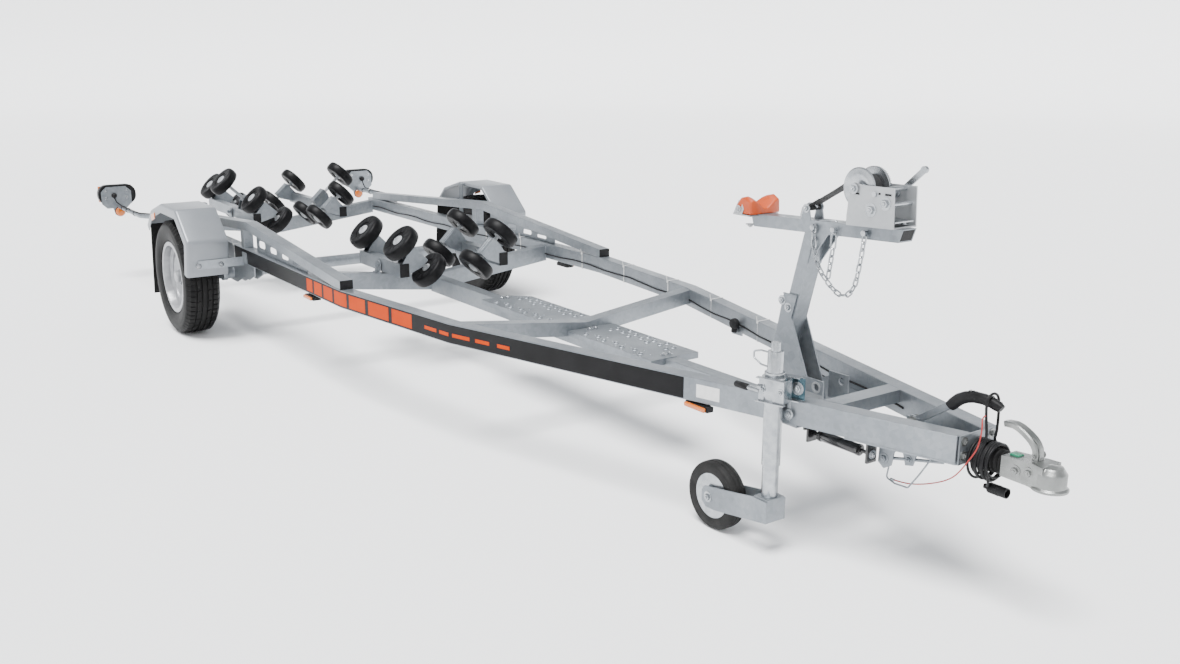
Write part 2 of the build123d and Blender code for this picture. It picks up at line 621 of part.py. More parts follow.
def cradle(pair, rocker):
    """Folded channel over the roller rod, with two diaphragms, down to the rocker tube."""
    plane = pair_plane(pair, pair[6])
    half_x = cradle_w / 2
    half_len = 52.0
    run_y, run_z = unit(pair[4])
    centre_y, centre_z = pair[2] + pair[6] * run_y, pair[3] + pair[6] * run_z
    reach = (rocker["y"] - centre_y) * run_z - (rocker["z"] - centre_z) * run_y
    drop = -(reach + 12)
    side = (rocker["y"] - centre_y) * run_y + (rocker["z"] - centre_z) * run_z
    outline = [(-half_len, cradle_rise), (half_len, cradle_rise), (half_len, -14),
               (side + 26, drop), (side - 26, drop), (-half_len, -14)]
    solid = extrude(plane * make_face(Polyline(*outline, close=True)), half_x, both=True)
    inner = [(-half_len - 5, cradle_rise - plate), (half_len + 5, cradle_rise - plate),
             (half_len + 5, drop - 20), (-half_len - 5, drop - 20)]
    solid -= extrude(plane * make_face(Polyline(*inner, close=True)), half_x - plate, both=True)
    for place in (-half_len + 2, half_len - 6):
        wall = [(place, cradle_rise - plate), (place + 4, cradle_rise - plate),
                (place + 4, -bearing_r - 3), (place, -bearing_r - 3)]
        solid += extrude(plane * make_face(Polyline(*wall, close=True)), half_x - plate, both=True)
    sleeve = plane * Rot(0, 90, 0) * Cylinder(bearing_r, 2 * half_len - 4)
    bore = plane * Rot(0, 90, 0) * Cylinder(roller_rod_r + fit_gap, 4 * half_len)
    return solid + sleeve, bore


def rocker_beam(rocker):
    """Left rocker: a box tube with its pivot pin and one cradle for each roller pair."""
    y_low, y_high = rocker["y"] - rocker_w / 2, rocker["y"] + rocker_w / 2
    z_low, z_high = rocker["z"] - rocker["h"] / 2, rocker["z"] + rocker["h"] / 2
    tube = block(rocker["rear_x"], rocker["front_x"], y_low, y_high, z_low, z_high)
    room = block(rocker["rear_x"] - 1, rocker["front_x"] + 1, y_low + rocker_wall, y_high - rocker_wall,
                 z_low + rocker_wall, z_high - rocker_wall)
    beam = tube - room
    bores = []
    for pair in rocker["pairs"]:
        folded, bore = cradle(pair, rocker)
        beam += folded - room
        bores.append(bore)
    pin_reach = rocker_w / 2 + pivot_gap + pivot_t + 8
    beam += rod((rocker["pivot_x"], rocker["y"] - pin_reach, rocker["z"]),
                (rocker["pivot_x"], rocker["y"] + pin_reach, rocker["z"]), rocker_pin_r)
    return beam - bores


pivot_t, pivot_base_t = 6.0, 4.0
pivot_gap = 5.0
pivot_ear_r = 24.0


def rocker_pivot(rocker, cross_x, vertex_top):
    """Two ears on a cross beam that hold the left rocker's pin, on one sloping base plate."""
    slope = cross_drop / (rail_outer - rail_w)
    y_in, y_out = rocker["y"] - rocker_w / 2 - pivot_gap, rocker["y"] + rocker_w / 2 + pivot_gap

    def deck(y):
        return vertex_top + slope * y
    base_in, base_out = y_in - pivot_t - 8, y_out + pivot_t + 8
    saddle = prism_x([(base_in, deck(base_in)), (base_out, deck(base_out)),
                      (base_out, deck(base_out) + pivot_base_t), (base_in, deck(base_in) + pivot_base_t)],
                     cross_x - cross_w / 2, cross_x + cross_w / 2)
    pin_x, pin_z = rocker["pivot_x"], rocker["z"]
    for y_low in (y_in - pivot_t, y_out):
        foot = deck(y_low) + 1
        ear = prism_y([(cross_x - cross_w / 2, foot), (cross_x + cross_w / 2, foot),
                       (pin_x + pivot_ear_r - 3, pin_z), (pin_x - pivot_ear_r + 3, pin_z)],
                      y_low, y_low + pivot_t)
        saddle += ear + rod((pin_x, y_low, pin_z), (pin_x, y_low + pivot_t, pin_z), pivot_ear_r)
    saddle -= block(cross_x - cross_w, cross_x + cross_w, y_in, y_out, 0, pin_z - pivot_ear_r - 2)
    return saddle - rod((pin_x, base_in, pin_z), (pin_x, base_out, pin_z), rocker_pin_r + fit_gap)


def rocker_pivots():
    """Pivot brackets of all four rockers."""
    return (both_sides(rocker_pivot(rear_rocker, rear_cross_x, rear_cross_top))
            + both_sides(rocker_pivot(front_rocker, front_cross_x, front_cross_top)))


# ================================================================ winch post
post_w, post_d, post_wall = 60.0, 44.0, 4.0
post_top_x, post_lean = 3742.0, 14.5
arm_rear_len, arm_front_len = 252.0, 346.0
arm_rear_x, arm_front_x = post_top_x - arm_rear_len, post_top_x + arm_front_len
arm_rear_z, arm_front_z = 981.0, 1010.0
arm_h, arm_w = 40.0, 60.0
arm_rear_cut, arm_front_cut = 16.0, 14.0
saddle_half, saddle_t, saddle_rear_x, saddle_top = 60.0, 5.0, 3777.0, 520.0
saddle_hole_x, saddle_hole_z, saddle_hole_r = 3831.0, 495.0, 12.0
post_foot_x = 3605.0
post_foot_z = rail_bottom + foot_plate_t
# side view of the flared plate on each side of the post's foot
flare_line = [(3646, 765), (3704, 765), (3684, 690), (3768, 500), (3790, post_foot_z),
              (post_foot_x, post_foot_z), (3612, 600)]
strap_ear_y, strap_ear_t, strap_ear_r = 31.0, 5.0, 11.0
eye_pin_r = 6.0
snubber_rear_x, snubber_front_x = 3415.0, 3512.0
snubber_shim, snubber_notch_h = 1.0, 19.0


def arm_z(x):
    """Centre line of the winch arm."""
    return arm_rear_z + (x - arm_rear_x) * (arm_front_z - arm_rear_z) / (arm_front_x - arm_rear_x)


def winch_post():
    """Leaning post with flared side plates and a foot saddle, and the arm welded on top."""
    half_h = arm_h / 2
    top_z = arm_z(post_top_x) - half_h
    lean = math.tan(math.radians(post_lean))

    def post_outline(wall, extra):
        low_z, high_z = post_foot_z - extra, top_z + extra
        half = post_d / 2 / math.cos(math.radians(post_lean)) - wall
        low_x, high_x = post_top_x - lean * (top_z - low_z), post_top_x + lean * (high_z - top_z)
        return [(low_x - half, low_z), (low_x + half, low_z), (high_x + half, high_z),
                (high_x - half, high_z)]
    under_arm = prism_y([(arm_rear_x, 0), (arm_front_x, 0), (arm_front_x, arm_z(arm_front_x) - half_h),
                         (arm_rear_x, arm_z(arm_rear_x) - half_h)], -post_w, post_w)
    above_foot = block(0, rail_nose_x, -post_w, post_w, post_foot_z, 2 * rail_nose_x)
    post = prism_y(post_outline(0, post_w), -post_w / 2, post_w / 2) & under_arm & above_foot
    post -= prism_y(post_outline(post_wall, post_w), -post_w / 2 + post_wall, post_w / 2 - post_wall)
    arm = prism_y([(arm_rear_x, arm_rear_z - half_h), (arm_front_x, arm_front_z - half_h),
                   (arm_front_x + arm_front_cut, arm_front_z + half_h),
                   (arm_rear_x - arm_rear_cut, arm_rear_z + half_h)], -arm_w / 2, arm_w / 2)
    inside = half_h - post_wall
    before_x, after_x = arm_rear_x - 2 * arm_rear_cut, arm_front_x + 2 * arm_front_cut
    arm -= prism_y([(before_x, arm_z(before_x) - inside), (after_x, arm_z(after_x) - inside),
                    (after_x, arm_z(after_x) + inside), (before_x, arm_z(before_x) + inside)],
                   -arm_w / 2 + post_wall, arm_w / 2 - post_wall)
    body = post + arm
    knee = [(post_top_x + 10, top_z + 2), (post_top_x + 74, top_z + 5), (post_top_x - 18, top_z - 120)]
    for side in (-1, 1):
        low_y, high_y = sorted((side * post_w / 2, side * (post_w / 2 + saddle_t)))
        body += prism_y(flare_line, low_y, high_y)
        low_y, high_y = sorted((side * post_w / 2, side * (post_w / 2 - saddle_t)))
        body += prism_y(knee, low_y, high_y)
    base_end = foot_front_x - 2
    base = block(post_foot_x, base_end, -saddle_half, saddle_half, post_foot_z, post_foot_z + saddle_t)
    for y_low in (-saddle_half, saddle_half - saddle_t):
        base += block(saddle_rear_x, base_end, y_low, y_low + saddle_t, post_foot_z, saddle_top)
    base -= rod((saddle_hole_x, -saddle_half - 5, saddle_hole_z),
                (saddle_hole_x, saddle_half + 5, saddle_hole_z), saddle_hole_r)
    pin_x, pin_z = strap_pin
    body += rod((pin_x, -strap_ear_y, pin_z), (pin_x, strap_ear_y, pin_z), strap_pin_r)
    seat_z = arm_z(pin_x) + half_h - 2
    for y_low in (-strap_ear_y, strap_ear_y - strap_ear_t):
        ear = prism_y([(pin_x - 20, seat_z), (pin_x + 20, seat_z), (pin_x + strap_ear_r, pin_z),
                       (pin_x - strap_ear_r, pin_z)], y_low, y_low + strap_ear_t)
        body += ear + rod((pin_x, y_low, pin_z), (pin_x, y_low + strap_ear_t, pin_z), strap_ear_r)
    for x in chain_eyes:
        body += rod((x, -arm_w / 2, arm_z(x)), (x, -arm_w / 2 - 14, arm_z(x)), eye_pin_r)
    return body + base


def winch_strap():
    """Webbing strap from the drum's top to the pin on the arm, with its sewn end loop."""
    reach_x, reach_z = drum_x - strap_pin[0], drum_z - strap_pin[1]
    outer = strap_r + fit_gap + strap_t / 2
    loop = strap_pin_r + fit_gap + strap_t / 2
    angle = math.atan2(reach_z, reach_x) + math.asin((outer - loop) / math.hypot(reach_x, reach_z))
    side_x, side_z = -math.sin(angle), math.cos(angle)

    def edge(centre, radius):
        return centre[0] + radius * side_x, centre[1] + radius * side_z
    half_t = strap_t / 2
    slab = [edge(strap_pin, loop - half_t), edge((drum_x, drum_z), outer - half_t),
            edge((drum_x, drum_z), outer + half_t), edge(strap_pin, loop + half_t)]
    strap = prism_y(slab, -strap_w / 2, strap_w / 2)
    pin_x, pin_z = strap_pin
    return strap + pipe((pin_x, -strap_w / 2, pin_z), (pin_x, strap_w / 2, pin_z), loop + half_t,
                        strap_pin_r + fit_gap)


def cord_tube(route, diameter, name):
    """Round tube along a route of straight runs joined by the largest tangent arcs."""
    points = [Vector(*p) for p in route]
    radii = []
    for before, corner, after in zip(points, points[1:], points[2:]):
        first, second = corner - before, after - corner
        turn = math.radians(first.get_angle(second))
        radii.append(0.45 * min(first.length, second.length) / math.tan(turn / 2))
    path = FilletPolyline(*points, radius=radii)
    print(name, "radii", [round(r) for r in radii], "length", round(path.length))
    start = Plane(origin=points[0], z_dir=points[1] - points[0])
    return sweep(start * Circle(diameter / 2), path=path)


chain_eyes = (post_top_x + 23, post_top_x + 228)
chain_d = 10.0
chain_y = -arm_w / 2 - 8.0
# hanging chain on the right side of the winch arm
chain_route = [(3765, chain_y, 988), (3768, chain_y, 945), (3780, chain_y, 900), (3806, chain_y, 858),
               (3846, chain_y, 823), (3886, chain_y, 803), (3922, chain_y, 812), (3945, chain_y, 848),
               (3955, chain_y, 895), (3963, chain_y, 942), (3970, chain_y, 990)]


def safety_chain():
    """Chain hanging in a loop between two eyes of the winch arm."""
    links = cord_tube(chain_route, chain_d, "safety_chain")
    for x in chain_eyes:
        links -= rod((x, 0, arm_z(x)), (x, -arm_w, arm_z(x)), eye_pin_r + fit_gap)
    return links


drum_z = 1133.0
drum_flange_r, strap_r = 62.0, 38.0
drum_half = 34.0
strap_w, strap_t = 50.0, 2.5
strap_pin = (post_top_x - 20, 1048.0)
strap_pin_r = 6.0
winch_half = 47.0
winch_t = 4.0
winch_len, winch_inset = 179.0, 4.0
winch_front_x = arm_front_x - winch_inset
winch_rear_x = winch_front_x - winch_len
drum_x = winch_rear_x + 27
gear_r, pinion_r = 60.0, 16.0
pinion_x, pinion_z = drum_x + 77, 1124.0
shaft_r = 8.0
crank_len, crank_angle = 106.0, 42.0


def winch_frame():
    """Folded winch frame: a base on the arm and two side plates."""
    rear_z, front_z = arm_z(winch_rear_x) + arm_h / 2, arm_z(winch_front_x) + arm_h / 2
    top_z = drum_z + 15
    outline = [(winch_rear_x, rear_z), (winch_front_x, front_z), (winch_front_x - 6, top_z),
               (drum_x + 28, top_z - 2), (drum_x, top_z + 2), (drum_x - 20, drum_z - 5),
               (winch_rear_x, drum_z - 82)]
    sides = []
    for y_low in (-winch_half - winch_t, winch_half):
        side = prism_y(outline, y_low, y_low + winch_t)
        side += rod((drum_x, y_low, drum_z), (drum_x, y_low + winch_t, drum_z), 18)
        sides.append(side)
    deck = prism_y([(winch_rear_x, rear_z), (winch_front_x, front_z),
                    (winch_front_x, front_z + winch_t), (winch_rear_x, rear_z + winch_t)],
                   -winch_half - winch_t, winch_half + winch_t)
    frame = deck + sides
    reach = winch_half + winch_t + 5
    for x, z in ((drum_x, drum_z), (pinion_x, pinion_z)):
        frame -= rod((x, -reach, z), (x, reach, z), shaft_r + fit_gap)
    return frame


def winch_drum():
    """Drum with its strap wound on, its two flanges and the large gear."""
    at = dict(origin=(drum_x, 0, drum_z), axis=(0, 1, 0))
    out = winch_half + winch_t + 6
    body = rod((drum_x, -out, drum_z), (drum_x, out, drum_z), shaft_r)
    body += turned([(0, -drum_half), (drum_flange_r, -drum_half), (drum_flange_r, -drum_half + 3),
                    (strap_r, -drum_half + 3), (strap_r, drum_half - 3), (drum_flange_r, drum_half - 3),
                    (drum_flange_r, drum_half), (0, drum_half)], **at)
    body += turned([(0, drum_half), (gear_r, drum_half), (gear_r, drum_half + 7), (0, drum_half + 7)], **at)
    return body


def winch_crank():
    """Pinion shaft with the crank arm on the left side."""
    out = winch_half + winch_t
    body = rod((pinion_x, -out - 6, pinion_z), (pinion_x, out + 20, pinion_z), shaft_r)
    body += rod((pinion_x, drum_half, pinion_z), (pinion_x, drum_half + 8, pinion_z), pinion_r)
    run_x, run_z = unit(crank_angle)
    tip = (pinion_x + crank_len * run_x, pinion_z + crank_len * run_z)
    side_x, side_z = -run_z * 9, run_x * 9
    arm = prism_y([(pinion_x + side_x, pinion_z + side_z), (pinion_x - side_x, pinion_z - side_z),
                   (tip[0] - side_x, tip[1] - side_z), (tip[0] + side_x, tip[1] + side_z)],
                  out + 10, out + 16)
    arm += rod((pinion_x, out + 10, pinion_z), (pinion_x, out + 16, pinion_z), 14)
    arm += rod((tip[0], out + 8, tip[1]), (tip[0], out + 18, tip[1]), 11)
    return body + arm


def bow_snubber():
    """Notched rubber bow stop, seated on the arm's rear end."""
    seat = arm_z(snubber_front_x) + arm_h / 2 + snubber_shim
    notch_z = seat + snubber_notch_h
    wing = [(66, seat), (66, notch_z + 24), (52, notch_z + 36), (38, notch_z + 30), (14, notch_z)]
    outline = wing + [(-y, z) for y, z in wing[::-1]]
    return prism_x(outline, snubber_rear_x, snubber_front_x)


# ================================================================ coupling and overrun brake
coupling_z = 430.0
overrun_r = 24.0
drawbar_r, drawbar_z = 22.0, coupling_z + 5
overrun_rear_x = 4120.0
ball_x, ball_r = 4622.0, 25.0
socket_r = ball_r + 0.5
socket_depth = 26.0
handle_half_w, handle_half_t = 17.0, 8.0
head_r = 42.0
head_top_z, head_rim_z = coupling_z + 42, coupling_z - socket_depth
nose_tip_x = ball_x + head_r + 6
bellows_x = rail_nose_x + flange_t
bellows_len = 100.0


def overrun_housing():
    """Overrun brake tube between the rails, with its flange on the rails' front ends and the drawbar."""
    body = rod((overrun_rear_x, 0, coupling_z), (rail_nose_x, 0, coupling_z), overrun_r)
    body += block(overrun_rear_x + 10, overrun_rear_x + 210, -20, 20, rail_bottom, coupling_z + 10)
    body += block(rail_nose_x, bellows_x, -80, 80, rail_bottom - flange_t, rail_top)
    body += rod((rail_nose_x, 0, drawbar_z), (ball_x - 90, 0, drawbar_z), drawbar_r)
    pin_x, pin_z = lever_pivot
    for y_low in (-10.5, 5.5):
        body += block(pin_x - 22, pin_x + 24, y_low, y_low + 5, coupling_z, pin_z + 12)
    return body + rod((pin_x, -12, pin_z), (pin_x, 12, pin_z), lever_pin_r)


def bellows():
    """Rubber bellows over the drawbar."""
    folds = 7
    pitch = bellows_len / folds
    profile = [(drawbar_r + fit_gap, 0), (drawbar_r + fit_gap, bellows_len)]
    for i in range(folds, 0, -1):
        crest = 40 - 6 * (i - 0.5) / folds
        profile += [(crest - 8, i * pitch), (crest, (i - 0.35) * pitch), (crest, (i - 0.65) * pitch)]
    profile.append((32, 0))
    return turned(profile, (bellows_x, 0, drawbar_z), (1, 0, 0))


def coupling_head():
    """Pressed coupling head: a channel that closes into a dome over the ball socket."""
    rear = bellows_x + bellows_len
    side = [(rear, coupling_z - 23), (rear, coupling_z + 36), (ball_x - 36, head_top_z),
            (ball_x + 10, head_top_z - 2), (ball_x + 10, head_rim_z), (ball_x - 20, head_rim_z)]
    plan = [(rear, -33), (ball_x - 50, -33), (ball_x, -head_r), (ball_x, head_r), (ball_x - 50, 33),
            (rear, 33)]
    neck = prism_y(side, -head_r, head_r) & prism_z(plan, coupling_z - 50, coupling_z + 70)
    dome = turned([(0, -socket_depth), (head_r + 6, -socket_depth), (head_r + 6, -20), (head_r, -16),
                   (head_r, 20), (head_r - 12, 38), (0, 42)], (ball_x, 0, coupling_z), (0, 0, 1))
    head = neck + dome
    head -= rod((ball_x, 0, coupling_z - socket_depth - 20), (ball_x, 0, coupling_z), socket_r)
    head -= Sphere(socket_r).moved(Location((ball_x, 0, coupling_z)))
    head -= rod((rear - 1, 0, drawbar_z), (ball_x - 88, 0, drawbar_z), drawbar_r + fit_gap)
    return head


def coupling_handle():
    """Curved release handle on the coupling's top."""
    foot_x = ball_x - 42
    line = [(foot_x - 102, head_top_z + 77), (foot_x - 75, head_top_z + 79), (foot_x - 44, head_top_z + 68),
            (foot_x - 19, head_top_z + 52), (foot_x - 3, head_top_z + 32), (foot_x, head_top_z + 20),
            (foot_x, head_top_z + fit_gap)]
    return prism_y(band(line, -handle_half_t, handle_half_t), -handle_half_w, handle_half_w)


coil_rear_x, coil_front_x = bellows_x + 6, bellows_x + 76
coil_r, coil_inner_r, coil_z = 62.0, 41.5, coupling_z - 4
lead_d = 8.0
# loop of the seven-core lead: up from the coil, over the handbrake grip and down again
lead_route = [(4431, 14, 487), (4432, 24, 522), (4429, 28, 560), (4426, 28, 601.6), (4426, 11.6, 618),
              (4426, -11.6, 618), (4426, -28, 601.6), (4429, -28, 560), (4432, -24, 522), (4431, -14, 487)]
plug_r, plug_len = 15.0, 62.0
breakaway_d = 4.0
# breakaway cable: from the lead's loop, past the coil and back under the nose
breakaway_route = [(4429, -32, 561), (4432, -50, 560), (4444, -62, 537), (4446, -69, 505),
                   (4440, -73, 472), (4420, -76, 437), (4400, -77, 404), (4376, -76, 374),
                   (4341, -74, 350), (4303, -72, 331), (4264, -71, 315), (4224, -70, 303),
                   (4185, -71, 298), (4158, -73, 298)]
loop_wire_r, loop_bend_r = 2.5, 9.0
loop_route = [(4188, -82, rail_bottom - 8), (4160, -80, 372), (4146, -78, 300), (4178, -78, 291),
              (4226, -78, 293), (4262, -79, 344), (4304, -78, rail_bottom - 8)]


def lead_coil():
    """Outer shape of the lead's turns around the bellows."""
    ring = rod((coil_rear_x, 0, coil_z), (coil_front_x, 0, coil_z), coil_r)
    ring = fillet(ring.edges(), 6)
    return ring - rod((coil_rear_x - 1, 0, drawbar_z), (coil_front_x + 1, 0, drawbar_z), coil_inner_r)


def lead_plug():
    """Plug of the lead, tucked under the coil."""
    low_z = coil_z - coil_r - fit_gap - plug_r
    plug = rod((coil_front_x - 30, 0, low_z), (coil_front_x - 30 + plug_len, 0, low_z), plug_r)
    return plug + rod((coil_front_x - 42, 0, low_z), (coil_front_x - 30, 0, low_z), 8)


lever_pivot = (4172.0, 470.0)
lever_pin_r = 6.0
lever_bend, lever_end = (4289.0, 549.0), (4345.0, 583.0)
lever_half_h, lever_half_t = 11.0, 5.0
grip_line = [(4296, 554), (4316, 576), (4340, 589), (4370, 595), (4400, 596), (4426, 592), (4444, 586)]
grip_half_h, grip_half_w, grip_corner = 15.0, 15.0, 10.0


def handbrake_lever():
    """Flat handbrake lever between the housing's ears."""
    pivot_x, pivot_z = lever_pivot
    line = [(pivot_x + 2, pivot_z), lever_bend, lever_end]
    lever = prism_y(band(line, -lever_half_h, lever_half_h), -lever_half_t, lever_half_t)
    lever += rod((pivot_x, -lever_half_t, pivot_z), (pivot_x, lever_half_t, pivot_z), 14)
    return lever - rod((pivot_x, -9, pivot_z), (pivot_x, 9, pivot_z), lever_pin_r + fit_gap)


def handbrake_grip():
    """Moulded arched grip around the lever's upper end."""
    grip = prism_y(band(grip_line, -grip_half_h, grip_half_h), -grip_half_w, grip_half_w)
    ends = grip.edges().filter_by(Axis.Y).sort_by(Axis.X)
    grip = fillet(ends[:2] + ends[-2:], grip_corner)
    pivot_x, pivot_z = lever_pivot
    socket = band([(pivot_x + 2, pivot_z), lever_bend, lever_end], -lever_half_h, lever_half_h)
    return grip - prism_y(socket, -lever_half_t, lever_half_t)


damper_y, damper_z, damper_r = -130.0, 378.0, 17.0
damper_rear_x, damper_front_x = 3905.0, 4125.0
damper_ear_t = 8.0


def overrun_damper():
    """Brake gas spring slung under the right rail, between two hanging ears."""
    body = rod((damper_rear_x + 20, damper_y, damper_z), (damper_front_x - 40, damper_y, damper_z),
               damper_r)
    body += rod((damper_rear_x, damper_y, damper_z), (damper_front_x, damper_y, damper_z), 6)
    ear_x, ear_top = damper_rear_x + 1, rail_bottom - flange_t
    body += block(ear_x - damper_ear_t, ear_x, damper_y - 34, damper_y + 4, damper_z - 22, ear_top)
    body += block(ear_x - damper_ear_t, ear_x, damper_y - 50, damper_y - 20, ear_top - 16, rail_bottom)
    ear_x = damper_front_x - 3
    return body + block(ear_x, ear_x + damper_ear_t, damper_y - 20, damper_y + 20, damper_z - 26, ear_top)


# ================================================================ jockey wheel
jockey_x, jockey_y = 3860.0, 273.0
jockey_tube_r, jockey_wall = 29.0, 3.0
jockey_tube_low, jockey_tube_high = 294.0, 582.0
jockey_leg_r = jockey_tube_r - jockey_wall - fit_gap
jockey_wheel_r, jockey_wheel_w = 114.5, 60.0
jockey_hub_x = 3622.0
fork_t = 5.0
fork_half = jockey_wheel_w / 2 + 6
fork_top, fork_block_h = 190.0, 75.0
jockey_travel = 95.0
clamp_ring_h, clamp_ring_t, clamp_plate_t = 76.0, 9.0, 6.0
bracket_x, bracket_t, bracket_lip = 76.0, 4.0, 24.0
swivel_pin_r = 12.0
jockey_pin_r = 9.0
jockey_bead_r = 76.0
crank_hub_z, spindle_top_z, spindle_nut_r = 655.0, 682.0, 14.0
crank_wire_r, crank_bend_r = 3.0, 9.0
# folding crank: place along the trailer from the tube's axis, and height above its top
crank_loop = [(-20, 16), (-60, 17), (-93, 32), (-93, 52), (-62, 61), (-20, 62)]


def jockey_frame():
    """Plane of the left rail's outer face at the jockey tube: X along the rail, Y outwards."""
    run_x, run_y = unit(nose_angle)
    face_y = rail_face_y(jockey_x)
    stand_off = (jockey_y - face_y) * run_x
    foot = (jockey_x + stand_off * run_y, jockey_y - stand_off * run_x, 0)
    return Plane(origin=foot, x_dir=(run_x, run_y, 0), z_dir=(0, 0, 1)), stand_off


def jockey_clamp():
    """Zinc plate and lipped bracket on the rail, with the clamp ring around the jockey tube."""
    local, stand_off = jockey_frame()
    ring_low, ring_high = rail_top, rail_top + clamp_ring_h
    body = block(-42, 42, 0, clamp_plate_t, rail_bottom + 15, ring_high + 2)
    body += block(-20, 20, clamp_plate_t, stand_off, ring_low, ring_high)
    body += rod((0, stand_off, ring_low), (0, stand_off, ring_high), jockey_tube_r + clamp_ring_t)
    bracket_low, bracket_high = ring_low + 2, jockey_tube_high - 2
    body += block(30, bracket_x, 0, bracket_t, bracket_low, bracket_high)
    body += block(30, bracket_x, 0, bracket_lip, bracket_low, bracket_low + bracket_t)
    body += block(30, bracket_x, 0, bracket_lip, bracket_high - bracket_t, bracket_high)
    body -= rod((0, stand_off, 0), (0, stand_off, 2 * ring_high), jockey_tube_r + fit_gap)
    return local * (body - block(-60, 60, -60, 0, 0, 2 * ring_high))


def jockey_tube():
    """Outer tube of the jockey wheel, with its cap, spindle nut and folding wire crank."""
    tube = pipe((jockey_x, jockey_y, jockey_tube_low), (jockey_x, jockey_y, jockey_tube_high),
                jockey_tube_r, jockey_tube_r - jockey_wall)
    tube += rod((jockey_x, jockey_y, jockey_tube_high), (jockey_x, jockey_y, jockey_tube_high + 8), 31)
    tube += rod((jockey_x, jockey_y, jockey_tube_high), (jockey_x, jockey_y, crank_hub_z), 24)
    tube += rod((jockey_x, jockey_y, crank_hub_z), (jockey_x, jockey_y, spindle_top_z), spindle_nut_r)
    route = [(jockey_x + x, jockey_y, jockey_tube_high + z) for x, z in crank_loop]
    path = FilletPolyline(*route, radius=[crank_bend_r] * (len(route) - 2))
    start = Plane(origin=route[0], z_dir=Vector(*route[1]) - Vector(*route[0]))
    return tube + sweep(start * Circle(crank_wire_r), path=path)


def jockey_leg():
    """Inner leg that slides in the tube, with the pin on which the fork swivels."""
    low = fork_top + 0.5
    high = jockey_tube_high - jockey_travel - 7
    leg = rod((jockey_x, jockey_y, low), (jockey_x, jockey_y, high), jockey_leg_r)
    return leg + rod((jockey_x, jockey_y, fork_top - 60), (jockey_x, jockey_y, low + 5), swivel_pin_r)


def jockey_fork():
    """Swivelling fork: a block on the leg's pin, two long side plates and the wheel's pin."""
    block_low, hub_z = fork_top - fork_block_h, jockey_wheel_r
    body = block(jockey_x - 30, jockey_x + 30, jockey_y - fork_half, jockey_y + fork_half,
                 block_low, fork_top)
    body -= rod((jockey_x, jockey_y, block_low - 15), (jockey_x, jockey_y, fork_top + 10),
                swivel_pin_r + fit_gap)
    side = [(jockey_x + 30, block_low), (jockey_x + 30, fork_top - 5), (jockey_x - 30, fork_top - 5),
            (jockey_hub_x - 20, hub_z + 32.5), (jockey_hub_x - 30, hub_z + 15.5),
            (jockey_hub_x - 30, hub_z - 19.5), (jockey_hub_x - 10, hub_z - 36.5),
            (jockey_hub_x + 30, hub_z - 36.5)]
    for y_low in (jockey_y - fork_half - fork_t, jockey_y + fork_half):
        body += prism_y(side, y_low, y_low + fork_t)
    reach = fork_half + fork_t + 6
    return body + rod((jockey_hub_x, jockey_y - reach, hub_z), (jockey_hub_x, jockey_y + reach, hub_z),
                      jockey_pin_r)


def jockey_tyre():
    """Solid rubber tyre of the jockey wheel."""
    half = jockey_wheel_w / 2
    wall_r, edge_r = jockey_wheel_r - 10.5, jockey_wheel_r - 3.5
    return turned([(jockey_bead_r, -half + 4), (wall_r, -half), (edge_r, -half + 5),
                   (jockey_wheel_r, -half + 14), (jockey_wheel_r, half - 14), (edge_r, half - 5),
                   (wall_r, half), (jockey_bead_r, half - 4)],
                  (jockey_hub_x, jockey_y, jockey_wheel_r), (0, 1, 0))


def jockey_rim():
    """Steel rim halves and hub of the jockey wheel."""
    half = jockey_wheel_w / 2
    bore, seat, ring = jockey_pin_r + fit_gap, jockey_bead_r - fit_gap, jockey_bead_r - 6
    return turned([(bore, -half), (24, -half), (24, -5), (ring - 6, -5), (ring, -half + 5),
                   (seat, -half + 5), (seat, half - 5), (ring, half - 5), (ring - 6, 5), (24, 5),
                   (24, half), (bore, half)],
                  (jockey_hub_x, jockey_y, jockey_wheel_r), (0, 1, 0))


